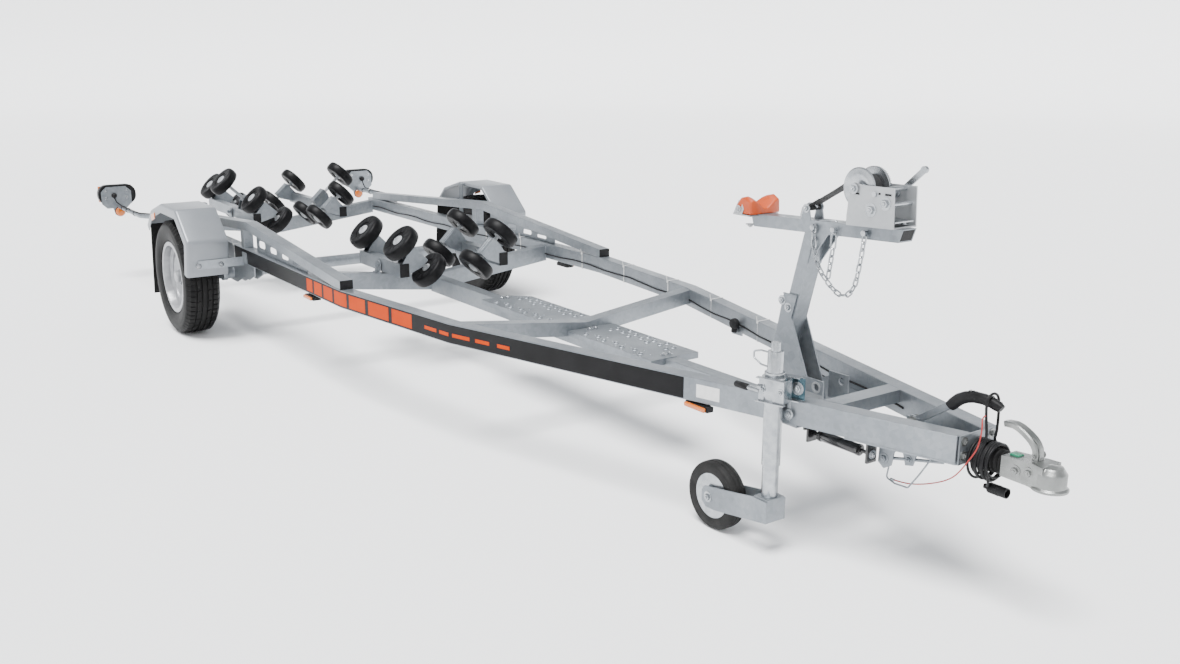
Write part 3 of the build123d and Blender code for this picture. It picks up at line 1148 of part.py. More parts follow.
# ================================================================ sub-parts
def build():
    """Every sub-part, by the name of its node."""
    nodes = {
        "rail_left": [rail()],
        "rail_right": [mirrored(rail())],
        "upper_beams": both_sides(upper_beam()),
        "end_plugs": end_plugs(),
        "cross_beams": cross_beams(),
        "keel_beam": [keel_beam()],
        "walk_plates": walk_plates(),
        "nose_plates": nose_plates(),
        "axle_beam": [axle_beam()] + brake_units(),
        "mudguards": both_sides(mudguard()),
        "mud_flaps": both_sides(mud_flap()),
        "fender_brackets": [piece for half in fender_bracket() for piece in both_sides(half)],
        "lamp_arms": both_sides(lamp_arm()),
        "lamp_housings": both_sides(lamp_housing()),
        "lamp_lenses": both_sides(lamp_lens()),
        "side_markers": side_markers(),
        "rocker_pivots": rocker_pivots(),
        "winch_post": [winch_post()],
        "winch_frame": [winch_frame()],
        "bow_snubber": [bow_snubber()],
        "overrun_housing": [overrun_housing()],
        "bellows": [bellows()],
        "coupling_head": [coupling_head()],
        "coupling_handle": [coupling_handle()],
        "handbrake_lever": [handbrake_lever()],
        "handbrake_grip": [handbrake_grip()],
        "overrun_damper": [overrun_damper()],
        "jockey_clamp": [mirrored(jockey_clamp())],
        "jockey_tube": [mirrored(jockey_tube())],
        "winch_strap": [winch_strap()],
        "safety_chain": [safety_chain()],
        "lead_coil": [lead_coil()],
        "lead_run": [cord_tube(lead_route, lead_d, "lead_run")],
        "lead_plug": [lead_plug()],
        "breakaway_cable": [cord_tube(breakaway_route, breakaway_d, "breakaway_cable")],
        "winch_drum": [winch_drum()],
        "winch_crank": [winch_crank()],
        "jockey_leg": [mirrored(jockey_leg())],
        "jockey_fork": [mirrored(jockey_fork())],
        "jockey_tyre": [mirrored(jockey_tyre())],
        "jockey_rim": [mirrored(jockey_rim())],
    }
    for name, side in (("left", 1), ("right", -1)):
        nodes["tyre_" + name] = [tyre(side)]
        nodes["rim_" + name] = [rim(side)]
    for end, rocker in (("front", front_rocker), ("rear", rear_rocker)):
        beam = rocker_beam(rocker)
        nodes[f"rocker_{end}_left"] = [beam]
        nodes[f"rocker_{end}_right"] = [mirrored(beam)]
        for pair in rocker["pairs"]:
            rollers = roller_pair(pair)
            nodes[f"rollers_{end}_{pair[0]}_left"] = [rollers]
            nodes[f"rollers_{end}_{pair[0]}_right"] = [mirrored(rollers)]
    return nodes


origin_x = (nose_tip_x + lamp_lens_x) / 2


def main():
    os.makedirs("parts", exist_ok=True)
    for name, shapes in build().items():
        solids = [solid for shape in shapes for solid in shape.solids()]
        placed = Compound(solids).moved(Location((-origin_x, 0, 0)))
        export_step(placed, f"parts/{name}.step")
    print(f"origin_x {origin_x:.1f}")


if __name__ == "__main__":
    main()
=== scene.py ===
import bmesh
import bpy
from math import acos, asin, atan2, copysign, cos, hypot, pi, radians, sin, tan, tau
from mathutils import Matrix, Vector


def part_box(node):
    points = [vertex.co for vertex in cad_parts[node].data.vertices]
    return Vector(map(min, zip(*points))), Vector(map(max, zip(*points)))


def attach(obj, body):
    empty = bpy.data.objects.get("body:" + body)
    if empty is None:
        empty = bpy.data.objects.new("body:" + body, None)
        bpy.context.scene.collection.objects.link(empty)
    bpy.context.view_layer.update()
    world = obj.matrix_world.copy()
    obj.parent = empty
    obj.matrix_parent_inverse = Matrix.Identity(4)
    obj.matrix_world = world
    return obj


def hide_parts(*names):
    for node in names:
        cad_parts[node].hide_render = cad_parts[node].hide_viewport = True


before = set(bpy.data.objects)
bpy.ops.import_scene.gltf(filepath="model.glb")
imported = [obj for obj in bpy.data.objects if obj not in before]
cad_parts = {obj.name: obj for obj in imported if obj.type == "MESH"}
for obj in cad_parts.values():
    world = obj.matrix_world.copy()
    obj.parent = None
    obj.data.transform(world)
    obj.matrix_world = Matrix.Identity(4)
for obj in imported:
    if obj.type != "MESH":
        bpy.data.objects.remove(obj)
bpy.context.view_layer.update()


# ---------------- camera and lamps
# The camera stands ahead of the trailer's right side, at the height of a person's eyes.
# A large soft lamp overhead and a weak one in front light a pale, even room.
axle_x = sum(corner.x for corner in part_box("tyre_left")) / 2


def at(x, y, z):
    """A place in millimetres ahead of the road axle, left of the middle and above the ground."""
    return Vector((axle_x + x / 1000, y / 1000, z / 1000))


def stand(name, data):
    """Object of a camera, lamp, mesh or curve, put in the scene."""
    thing = bpy.data.objects.new(name, data)
    bpy.context.scene.collection.objects.link(thing)
    return thing


heading, dip, roll = radians(144.701), radians(14.328), radians(0.228)
eye = at(6198.2, -2610.9, 1543.0)
sight = Vector((cos(heading) * cos(dip), sin(heading) * cos(dip), -sin(dip)))
level_right = sight.cross(Vector((0, 0, 1))).normalized()
right = Matrix.Rotation(-roll, 3, sight) @ level_right
turned = Matrix((right, right.cross(sight), -sight)).transposed().to_4x4()
lens = bpy.data.cameras.new("camera")
lens.lens, lens.sensor_width, lens.clip_start = 34.41, 36.0, 0.05
camera = stand("camera", lens)
camera.matrix_world = Matrix.Translation(eye) @ turned
bpy.context.scene.camera = camera

world = bpy.data.worlds.new("studio")
world.use_nodes = True
room = world.node_tree.nodes["Background"].inputs
room["Color"].default_value, room["Strength"].default_value = (0.93, 0.96, 1.0, 1), 0.75
bpy.context.scene.world = world


def lamp(name, pitch, turn, power, softness):
    """Distant soft lamp, its pitch and turn in degrees from straight down."""
    light = bpy.data.lights.new(name, "SUN")
    light.energy, light.angle = power, radians(softness)
    stand(name, light).rotation_euler = (radians(pitch), 0, radians(turn))


lamp("overhead", 20, 20, 7.0, 30)
lamp("front_fill", 60, 30, 1.0, 60)


# ---------------- studio floor
# A wide sheet of matt white card, faintly clouded, lies under the trailer.
# Its rim is bent up all round into a backdrop.
class Wire:
    """A node's output in a finish, for sums on it."""

    def __init__(self, finish, socket):
        self.finish, self.socket = finish, socket

    def maths(self, operation, *values):
        return self.finish.add("Math", {"operation": operation}, dict(enumerate(values)))

    def __add__(self, other):
        return self.maths("ADD", self, other)

    def __radd__(self, other):
        return self.maths("ADD", other, self)

    def __sub__(self, other):
        return self.maths("SUBTRACT", self, other)

    def __rsub__(self, other):
        return self.maths("SUBTRACT", other, self)

    def __mul__(self, other):
        return self.maths("MULTIPLY", self, other)

    def __rmul__(self, other):
        return self.maths("MULTIPLY", other, self)


class Finish:
    """A surface finish for a slot of the part: one shader and the nodes that vary it."""

    def __init__(self, name, slot=None, **fixed):
        self.material = bpy.data.materials.new(name)
        self.material.use_nodes = True
        self.slot = slot or name
        self.tree = self.material.node_tree
        self.shader = self.tree.nodes["Principled BSDF"]
        self.feed(**fixed)

    def join(self, value, socket):
        """Link, colour or number given to a socket."""
        if isinstance(value, Wire):
            self.tree.links.new(value.socket, socket)
        elif isinstance(value, tuple):
            socket.default_value = (*value, 1)
        else:
            socket.default_value = value

    def add(self, kind, settings=None, values=None, out=0):
        """Node of a kind, with its settings made before its sockets are joined."""
        node = self.tree.nodes.new("ShaderNode" + kind)
        for key, value in (settings or {}).items():
            setattr(node, key, value)
        for key, value in (values or {}).items():
            self.join(value, node.inputs[key])
        return Wire(self, node.outputs[out])

    def feed(self, **inputs):
        """Values or links of the shader's own sockets."""
        for key, value in inputs.items():
            self.join(value, self.shader.inputs[key.replace("_", " ")])

    def place(self):
        return self.add("TexCoord", out="Object")

    def cloud(self, scale, detail=3, rough=0.5):
        """Soft noise of the given number of lumps a metre."""
        grain = {"Vector": self.place(), "Scale": scale, "Detail": detail, "Roughness": rough}
        return self.add("TexNoise", None, grain)

    def blend(self, share, first, second):
        return self.add("Mix", {"data_type": "RGBA"}, {0: share, 6: first, 7: second}, out=2)

    def limit(self, value, low, high):
        """A value brought from the range low..high to 0..1."""
        return self.add("MapRange", None, {0: value, 1: low, 2: high})

    def dent(self, height, depth):
        """Bump of a height whose full range is depth metres."""
        self.feed(Normal=self.add("Bump", None, {"Height": height, "Distance": depth, "Strength": 1.0}))
        return self


def circle(steps, first=0.0):
    """Cosine and sine at each step of a whole turn, the first one a share of a step on."""
    angles = [tau * (k + first) / steps for k in range(steps)]
    return [(cos(angle), sin(angle)) for angle in angles]


def course(points, i):
    """Direction of a line of points at one of them."""
    return (points[min(i + 1, len(points) - 1)] - points[max(i - 1, 0)]).normalized()


def round_edges(piece, radius, sharp=35, segments=2):
    """Edges sharper than an angle in degrees rounded to a radius in millimetres."""
    edge = piece.modifiers.new("edge", "BEVEL")
    edge.width, edge.segments, edge.limit_method = radius / 1000, segments, "ANGLE"
    edge.angle_limit, edge.harden_normals = radians(sharp), True


class Shape:
    """A mesh under way, its points in millimetres as at() takes them."""

    def __init__(self):
        self.mesh = bmesh.new()

    def skin(self, rings, ends=True):
        """Faces between closed rings of equally many points, with a cap on each end."""
        rows = [[self.mesh.verts.new(at(*point)) for point in ring] for ring in rings]
        for row, after in zip(rows, rows[1:]):
            for i in range(len(row)):
                j = (i + 1) % len(row)
                self.mesh.faces.new((row[i], row[j], after[j], after[i]))
        if ends:
            self.mesh.faces.new(rows[0][::-1])
            self.mesh.faces.new(rows[-1])
        return self

    def slab(self, outline, run):
        """Flat outline pushed along a run."""
        shifted = [tuple(a + b for a, b in zip(point, run)) for point in outline]
        return self.skin([outline, shifted])

    def bar(self, low, high):
        """Box between two opposite corners."""
        (x, y, z), (x2, y2, z2) = low, high
        return self.slab([(x, y, z), (x2, y, z), (x2, y2, z), (x, y2, z)], (0, 0, z2 - z))

    def turn(self, profile, origin, axis, steps=32, ends=True):
        """Profile of (radius, place along the axis) turned about an axis through an origin."""
        spin = Vector(axis).to_track_quat("Z", "Y")
        rings = []
        for radius, along in profile:
            rings.append([Vector(origin) + spin @ Vector((radius * c, radius * s, along))
                          for c, s in circle(steps)])
        return self.skin(rings if ends else rings + rings[:1], ends)

    def bolt(self, place, axis, width=17, washer=True, length=9):
        """Hexagon head on its washer, with the rounded top of the thread."""
        base = 1.6 if washer else 0
        if washer:
            self.turn([(width * 0.95, 0), (width * 0.95, base), (width * 0.5, 2)], place, axis, 20)
        half = width / 2 / cos(pi / 6)
        top = base + length * 0.75
        self.turn([(half, base), (half, top - 1), (half * 0.86, top)], place, axis, 6)
        thread = width * 0.26
        return self.turn([(thread, top - 1), (thread, top + 2), (width * 0.2, top + 3)], place, axis, 12)

    def tube(self, points, radius, steps=10):
        """Round tube through points, its rings turned with the run."""
        path = [Vector(point) for point in points]
        rings, side = [], course(path, 0).orthogonal().normalized()
        for i, point in enumerate(path):
            run = course(path, i)
            side = (side - run * side.dot(run)).normalized()
            other = run.cross(side)
            rings.append([point + radius * (c * side + s * other) for c, s in circle(steps)])
        return self.skin(rings)

    def solid(self, name, finish):
        """Smooth object of this mesh in a finish."""
        data = bpy.data.meshes.new(name)
        self.mesh.to_mesh(data)
        self.mesh.free()
        data.polygons.foreach_set("use_smooth", [True] * len(data.polygons))
        data.materials.append(finish.material)
        return stand(name, data)

    def make(self, name, finish, *replaces, body="frame", slot=None, crease=32, bevel=0.0, segments=2):
        """Piece of this mesh, riding on a body in place of the CAD nodes named."""
        bmesh.ops.remove_doubles(self.mesh, verts=self.mesh.verts, dist=2e-6)
        bmesh.ops.recalc_face_normals(self.mesh, faces=self.mesh.faces)
        piece = self.solid(name, finish)
        if bevel:
            round_edges(piece, bevel, crease, segments)
        else:
            piece.data.set_sharp_from_angle(angle=radians(crease))
        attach(piece, body)
        if replaces:
            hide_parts(*replaces)
        return piece


card = Finish("studio_floor", Roughness=0.95)
card.feed(Base_Color=card.blend(card.cloud(0.6, 2), (0.93, 0.935, 0.94), (0.95, 0.952, 0.955)))
sweep = [(500, 0), (24000, 0), (27000, 500), (29500, 2000), (31000, 4500), (31500, 9000)]
ground = Shape().skin([[(r * c, r * s, z) for c, s in circle(72)] for r, z in sweep])
ground.mesh.faces.ensure_lookup_table()
ground.mesh.faces.remove(ground.mesh.faces[-1])
ground.solid("floor", card)


# ---------------- electric lead and breakaway cable
# A black seven-core lead rises from the nose flange, hangs over the handbrake grip and is wound
# around the bellows down to its plug. A thin red plastic-coated wire cable trips the brake.
def plain(name, dark, pale, rough, spread=0.12, grain=60, fine=900, depth=0.0002, metal=0.0, gloss=0.5,
          **fixed):
    """Finish whose tone and roughness drift softly between two colours, over a fine grain."""
    finish = Finish(name, Metallic=metal, Specular_IOR_Level=gloss, **fixed)
    drift = finish.cloud(grain, 4)
    finish.feed(Base_Color=finish.blend(finish.limit(drift, 0.3, 0.7), dark, pale))
    finish.feed(Roughness=rough - spread / 2 + spread * finish.cloud(grain * 0.4, 3))
    return finish.dent(finish.cloud(fine, 2), depth)


sheath = plain("lead_sheath", (0.005, 0.005, 0.0055), (0.0126, 0.0126, 0.0134), 0.42, grain=30, fine=700,
               depth=0.0001, gloss=0.15, slot="cable_black")
red_coat = plain("cable_red", (0.252, 0.0072, 0.006), (0.348, 0.012, 0.0096), 0.3, grain=40, fine=600,
                 depth=0.0001)
moulded = plain("black_plastic", (0.0059, 0.0059, 0.0063), (0.0134, 0.0134, 0.0143), 0.45, grain=25,
                fine=1500, gloss=0.15)
zinc_plate = plain("zinc", (0.312, 0.33, 0.348), (0.456, 0.474, 0.492), 0.24, 0.12, 40, 500, 0.0001, 0.9)


def cord_line(name, points, diameter, finish):
    """Round cord in millimetres on one smooth spline."""
    line = bpy.data.curves.new(name, "CURVE")
    line.dimensions, line.bevel_depth, line.bevel_resolution = "3D", diameter / 2000, 3
    line.use_fill_caps, line.resolution_u = True, 6
    spline = line.splines.new("NURBS")
    spline.points.add(len(points) - 1)
    for knot, point in zip(spline.points, points):
        knot.co = (*at(*point), 1)
    spline.order_u, spline.use_endpoint_u = 3, True
    line.materials.append(finish.material)
    return stand(name, line)


lead_d, turn_points, bellows_top = 8.0, 14, 482
plug_x, plug_z = 4425, 349


def lead_wind(points, first_deg, last_deg, ahead):
    """Turns of the lead around the bellows, hung from its top and uneven by hand; gives the place reached."""
    turns = (last_deg - first_deg) / 360
    steps = int(turns * turn_points)
    for i in range(steps + 1):
        around = turns * i / steps
        angle = radians(first_deg) + tau * around
        place = ahead + 7.5 * around + 1.2 * sin(5.1 * around + ahead)
        radius = 53.5 + 4 * sin(2.4 * around + 0.1 * ahead)
        points.append((place, radius * cos(angle), bellows_top - radius + radius * sin(angle)))
    return place


lead_points = [(4391, 50, 450), (4396, 50, 452)]
reached = lead_wind(lead_points, 32, 52 + 360 * 4, 4401)
over_grip = [(4432, 22, 500), (4432, 24, 522), (4429, 28, 560), (4426, 28, 601.6), (4426, 11.6, 618)]
lead_points += [(4431, 17, 484), *over_grip, *[(x, -y, z) for x, y, z in over_grip[::-1]], (4433, -24, 484)]
lead_wind(lead_points, 138, 205 + 360 * 4, reached + 2)
lead_points += [(4463, -47, 400), (4459, -34, 376), (4446, -14, 357), (4434, -2, 350), (plug_x, 0, plug_z)]
lead = cord_line("seven_core_lead", lead_points, lead_d, sheath)
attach(lead, "frame")
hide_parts("lead_run", "lead_coil")
plug = Shape()
plug.turn([(5, 0), (7.5, 1), (8.5, 14), (14, 16), (15, 18), (15, 44), (15.8, 45), (15.8, 49), (15, 50),
           (15, 74), (12, 74), (11, 60)], (plug_x, 0, plug_z), (1, 0, 0), 28)
for c, s in circle(14):
    plug.turn([(1.2, 18), (1.2, 43)], (plug_x, 14.4 * c, plug_z + 14.4 * s), (1, 0, 0), 6)
lead_plug = plug.make("lead_plug_shell", moulded, "lead_plug")
at(*lead_points[0])

breakaway_points = [(4429, -32, 561), (4432, -50, 560), (4444, -62, 537), (4446, -69, 505), (4440, -73, 472),
                    (4420, -76, 437), (4400, -77, 404), (4376, -76, 374), (4341, -74, 350), (4303, -72, 331),
                    (4264, -71, 315), (4224, -70, 303), (4185, -71, 298), (4158, -73, 298)]
breakaway = cord_line("breakaway_line", breakaway_points, 4.0, red_coat)
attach(breakaway, "frame")
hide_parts("breakaway_cable")
sleeve = Shape().turn([(3.2, 0), (4, 1), (4, 13), (3.2, 14)], breakaway_points[-1], (1, -0.05, 0), 14)
crimp = sleeve.make("breakaway_ferrule", zinc_plate)
at(*breakaway_points[0])


# ---------------- frame steelwork
# Rectangular steel tubes cut, welded and then hot-dip galvanised as one frame: two long rails
# that close to the nose, bowed beams on top of them, three cross beams and a keel tube.
def galvanise(name, dark, pale, rough, slot=None):
    """Hot-dipped zinc: crystal spangle, cloudy dull patches and a fine orange peel."""
    zinc = Finish(name, slot, Metallic=0.72)
    crystal = zinc.add("TexVoronoi", None, {"Vector": zinc.place(), "Scale": 70.0}, out="Color")
    spangle = zinc.add("SeparateColor", None, {0: crystal})
    patch = zinc.limit(zinc.cloud(3.5, 5, 0.6), 0.35, 0.68)
    tone = 0.28 * spangle + 0.52 * patch + 0.2 * zinc.cloud(26, 4)
    zinc.feed(Base_Color=zinc.blend(tone, dark, pale), Roughness=rough + 0.12 * spangle - 0.1 * patch)
    return zinc.dent(zinc.cloud(420, 3) + 0.5 * zinc.cloud(45, 3), 0.0004)


def dress(finish, *names, edge=0.0):
    """CAD nodes in a finish, their edges rounded where a radius in millimetres is given."""
    for name in names:
        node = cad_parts[name]
        for holder in node.material_slots:
            holder.material = finish.material
        if edge:
            node.modifiers.new("weld", "WELD").merge_threshold = 1e-5
            round_edges(node, edge)


def weld(seams, start, end, size=3.2):
    """Bead along a joint, waved half a millimetre up and down."""
    first, last = Vector(start), Vector(end)
    steps = max(2, int((last - first).length / 7))
    drops = [first.lerp(last, i / steps) for i in range(steps)] + [last]
    seams.tube([p + Vector((0, 0, 0.5 if i % 2 else -0.5)) for i, p in enumerate(drops)], size, 6)


galvanised = galvanise("galvanised", (0.155, 0.172, 0.19), (0.30, 0.322, 0.344), 0.38)
dress(galvanised, "rail_left", "rail_right", "upper_beams", "cross_beams", "keel_beam", edge=3.0)
dress(galvanised, "nose_plates", "axle_beam", "rocker_pivots", "fender_brackets", "walk_plates", edge=0.8)
dress(moulded, "end_plugs", edge=1.0)
seams = Shape()
inner_y, outer_y = 664, 727
for side in (1, -1):
    for x, low, high in ((1095, 408, 488), (1155, 408, 488), (-1110, 404, 484), (-1050, 404, 484)):
        weld(seams, (x, side * inner_y, low), (x, side * inner_y, high))
    weld(seams, (1095, side * inner_y, 489), (1155, side * inner_y, 489))
    for start, end in ((1650, 1480), (-1040, -860), (345, 395)):
        weld(seams, (start, side * outer_y, 500), (end, side * outer_y, 500), 2.4)
    weld(seams, (3700, side * 30, 426), (3790, side * 30, 426))
seams.make("weld_seams", galvanised)


# ---------------- step plates
# Two galvanised sheets on the keel tube, folded down along their edges, with rows of punched
# holes whose raised rims give grip underfoot. Small pips stand between the right row's holes.
plate_top, hole_pitch = 404.6, 60
rims = Shape()
for rear_x, front_x in ((1790, 2425), (2495, 3045)):
    for i in range((front_x - rear_x - 120) // hole_pitch):
        x, stagger = rear_x + 90 + hole_pitch * i, 18 if i % 2 else 0
        for y in (-72, 52, 88):
            rims.turn([(9.2, -0.5), (9.2, 2.6), (10.2, 3.6), (11.4, 3.2), (13.6, 0.8), (14.5, 0)],
                      (x, y + stagger, plate_top), (0, 0, 1), 16, ends=False)
        for y in (-96, -48):
            pip = (x + 30, y + stagger, plate_top + 0.2)
            rims.turn([(0.1, 2.2), (3.0, 2.0), (4.6, 0)], pip, (0, 0, 1), 10)
rims.make("step_plate_rims", galvanised)
bolts = Shape()  # the frame's own bolts, which the sections below add to
for x in (1830, 2390, 2530, 3010):
    for y in (-15, 15):
        bolts.bolt((x, y, 405), (0, 0, 1), 13)


# ---------------- side band, cables and ties
# A black plastic film with plain orange blocks is stuck along the right rail, with a blank white
# plate ahead of it. Inside the left rail the lighting cable is held by white ties, next to a black
# knob on a small plate. A loop of the cable hangs at the axle's right end.
band_black = plain("side_band", (0.0042, 0.0042, 0.0046), (0.0084, 0.0084, 0.0092), 0.4, 0.06, 8, 300,
                   0.00005, gloss=0.12, slot="black_plastic")
band_orange = plain("side_band_orange", (0.42, 0.036, 0.0), (0.48, 0.046, 0.0), 0.45, 0.06, 8, 300,
                    0.00005, gloss=0.06, slot="orange_stop")
white_nylon = plain("white_nylon", (0.62, 0.62, 0.61), (0.70, 0.70, 0.69), 0.4, slot="zinc")
first_bend, second_bend = 1650, 2450


def rail_face(x):
    """Distance of the rails' outer face from the middle."""
    if x < first_bend:
        return 725.0
    if x < second_bend:
        return 725.0 - (x - first_bend) / 800 * 100
    return 625.0 - (x - second_bend) / 1935 * 538


def film(name, finish, spans, low, high, proud):
    """Thin film on the right rail's outer face, along spans of its length."""
    sheet = Shape()
    for start, end in spans:
        bends = [x for x in (first_bend, second_bend) if start < x < end]
        faces = [(x, -rail_face(x)) for x in (start, *bends, end)]
        sheet.skin([[(x, y + 0.2, low), (x, y - proud, low), (x, y - proud, high), (x, y + 0.2, high)]
                    for x, y in faces])
    sheet.make(name, finish)


film("side_band", band_black, [(250, 3507)], 424, 496, 0.5)
film("side_band_blocks", band_orange, [(1262, 1330), (1352, 1440), (1462, 1560), (1582, 1700), (1722, 1850),
                                       (1876, 2030), (2056, 2200)], 431, 489, 0.8)
film("side_band_dashes", band_orange, [(2290, 2370), (2390, 2450), (2470, 2560), (2590, 2660), (2700, 2760)],
     449, 463, 0.8)
film("rating_plate", white_nylon, [(3555, 3640)], 438, 482, 0.7)
knob = Shape()
knob.turn([(6, 0), (7, 6), (20, 9), (22.5, 13), (22.5, 24), (20, 30), (12, 33), (1, 34)],
          (2943, 424, 456), (0, -1, 0), 28)
knob.turn([(11, -30), (12, -26), (12, -4), (8, 0)], (2943, 408, 450), (0, 0.2, 1), 18)
knob.make("rail_knob", moulded)
Shape().bar((2915, 419, 408), (2972, 425.5, 440)).make("rail_knob_plate", galvanised, bevel=0.8)
ties, cables = Shape(), Shape()
tie_low, tie_high = 419, 501


def tie(x, y_low, y_high):
    """Cable tie around a rail: a narrow band with its lock and tail."""
    ring = [(y_low, tie_low), (y_high, tie_low), (y_high, tie_high), (y_low, tie_high)]
    for (y, z), (y2, z2) in zip(ring, ring[1:] + ring[:1]):
        ties.bar((x - 2.4, min(y, y2) - 0.6, min(z, z2) - 0.6), (x + 2.4, max(y, y2) + 0.6, max(z, z2) + 0.6))
    ties.bar((x - 4, y_low - 5, tie_high - 8), (x + 4, y_low, tie_high + 0.6))
    tail_y, tail_z = y_low - 9, tie_high + 22
    ties.slab([(x - 2, y_low - 4, tie_high), (x + 2, y_low - 4, tie_high), (x + 2, tail_y, tail_z),
               (x - 2, tail_y, tail_z)], (0, -1.2, 0))


for x in (520, 900, 1500, 1900, 2300, 2700, 3100):
    tie(x, rail_face(x) - 61.5, rail_face(x) + 0.8)
tie(240, -726, -664)
cable_x = range(-1040, 4160, 130)
cables.tube([(x, rail_face(x) - 63.5, 448 + 5 * sin(1.7 * i)) for i, x in enumerate(cable_x)], 3.6, 8)
cables.tube([(60, -640, 430), (90, -640, 385), (150, -650, 352), (210, -660, 372), (260, -668, 410),
             (300, -660, 440)], 4.0, 8)
cables.make("lighting_cable", sheath)
ties.make("cable_ties", white_nylon)


# ---------------- road wheels
# Two tubeless 14 inch tyres on silver pressed-steel wheels with round vent holes, each held by
# five studs to the hub of its brake drum, with a pressed dust cap.
tyre_black = plain("road_tyre", (0.004, 0.004, 0.0042), (0.0095, 0.0093, 0.009), 0.55, grain=18, fine=1400,
                   gloss=0.14)
silver_paint = plain("wheel_silver", (0.276, 0.282, 0.294), (0.372, 0.378, 0.39), 0.34, 0.1, 22, 700,
                     0.0001, 0.55)
both_sides = ((1, "left"), (-1, "right"))
wheel_y, axle_z, tread_r, stud_r = 918, 310, 309.6, 56
hub_face, cap_seat = wheel_y + 16, wheel_y + 34
side_profile = [(178.4, -71.6), (190, -71.8), (198, -74), (203, -80), (206, -80.5), (210, -83),
                (228, -89.2), (246, -92.2), (256, -92.4), (258, -92.5), (262, -92.3), (276, -89.5),
                (279, -89.4), (288, -84), (297, -76)]
tread_stops = [-70, -60, -50, -47, -45.5, -38.5, -37, -30, -19, -17.5, -10.5, -9, 0]
tread_stops += [-stop for stop in tread_stops[-2::-1]]
pitches, stations, cuts = 64, (0.0, 0.03, 0.17, 0.2, 0.6), (1, 2)
channel_depth, shoulder_depth, block_depth, wall_depth = 7, 5, 4, 2.5


def tyre_section(pitch, cut):
    """(radius, place across, skew) round the tyre, at a cut between tread blocks or clear of it."""
    wall = [(radius - (wall_depth if cut and radius > 285 else 0), across, 0)
            for radius, across in side_profile]
    tread = []
    for across in tread_stops:
        reach, depth = abs(across), 0
        if 10.5 <= reach <= 17.5 or 38.5 <= reach <= 45.5:
            depth = channel_depth
        elif cut and reach > 46:
            depth = shoulder_depth
        elif cut and 18 < reach < 38 and pitch % 2:
            depth = block_depth
        skew = 0.012 * sin(across / 9) if reach < 46 else 0
        tread.append((tread_r - 4.2 * (across / 70) ** 2 - depth, across, skew))
    return wall + tread + [(radius, -across, 0) for radius, across, skew in wall[::-1]]


for side, name in both_sides:
    centre = Vector((0, side * wheel_y, axle_z))
    rings = []
    for pitch in range(pitches):
        for step, share in enumerate(stations):
            base, ring = (pitch + share) / pitches * tau, []
            for radius, across, skew in tyre_section(pitch, step in cuts):
                c, s = cos(base + skew), sin(base + skew)
                ring.append(centre + Vector((radius * c, side * across, radius * s)))
            rings.append(ring)
    tyre = Shape().skin(rings + rings[:1], ends=False)
    tyre.make(f"road_tyre_{name}", tyre_black, f"tyre_{name}", body=f"road_wheel_{name}", crease=40)
    nuts, out = Shape(), (0, side, 0)
    for c, s in circle(5, 0.25):
        seat = Vector((stud_r * c, side * hub_face, axle_z + stud_r * s))
        nuts.turn([(13.5, 0), (11.5, 4), (9.8, 5)], seat, out, 20)
        nuts.bolt(seat + Vector((0, side * 4, 0)), out, 17, washer=False, length=13)
    dust_cap = [(0.5, 22), (12, 21), (24, 16), (31, 6), (32.5, 0)]
    nuts.turn(dust_cap, (0, side * cap_seat, axle_z), out, 36)
    nuts.tube([(160, side * 972, axle_z), (163, side * 985, axle_z), (166, side * 1000, axle_z)], 3.2)
    nuts.make(f"wheel_nuts_{name}", zinc_plate, body=f"road_wheel_{name}", slot="wheel_silver")
dress(silver_paint, "rim_left", "rim_right", edge=0.8)


# ---------------- mudguards and flaps
# Grey coated steel sheet folded over each wheel, its outer edge turned down into a skirt, with
# a rounded lower corner, side reflectors and a ribbed rubber flap bolted to the rear edge.
guard_grey = plain("fender_grey", (0.201, 0.216, 0.234), (0.24, 0.255, 0.273), 0.36, 0.08, 5, 900,
                   0.0001, 0.35)
rubber = plain("rubber", (0.005, 0.005, 0.005), (0.0126, 0.0126, 0.0126), 0.6, grain=40, fine=1200,
               depth=0.0003, gloss=0.15)
amber = plain("lens_amber", (0.50, 0.10, 0.001), (0.58, 0.14, 0.002), 0.12, 0.04, 300, 500, 0.0004,
              Coat_Weight=0.6)
guard_line = [Vector(p) for p in ((-347, 560), (-254, 648), (-50, 705), (230, 703), (405, 555), (365, 368))]
edge_section = [(18, 804), (5, 804), (1.5, 805.5), (0, 809), (0, 1003), (1.5, 1010), (6, 1015), (13, 1017),
                (48, 1017), (48, 1014), (13.5, 1014), (8, 1012.4), (4.4, 1008.5), (3, 1002), (3, 811),
                (4, 808), (6, 807), (18, 807)]  # depth below the guard's line, place across
fold_r = 34


def folded(depth):
    """Line parallel to the guard's, depth below it, each fold rounded with seven points."""
    runs = [(after - here).normalized() for here, after in zip(guard_line, guard_line[1:])]
    shifted = []
    for here, first, second in zip(guard_line, runs[:1] + runs, runs + runs[-1:]):
        normal = Vector((-(first + second).y, (first + second).x)).normalized()
        shifted.append(here - normal * (depth / max(0.2, normal.dot(Vector((-first.y, first.x))))))
    line, radius = [shifted[0]], max(fold_r - depth, 1.2)
    for before, here, after in zip(shifted, shifted[1:], shifted[2:]):
        first, second = (before - here).normalized(), (after - here).normalized()
        half = acos(max(-1, min(1, first.dot(second)))) / 2
        cut = min(radius / tan(half), (before - here).length * 0.45, (after - here).length * 0.45)
        start, end = here + first * cut, here + second * cut
        for share in (k / 6 for k in range(7)):
            line.append(start * (1 - share) ** 2 + here * 2 * share * (1 - share) + end * share ** 2)
    return line + shifted[-1:]


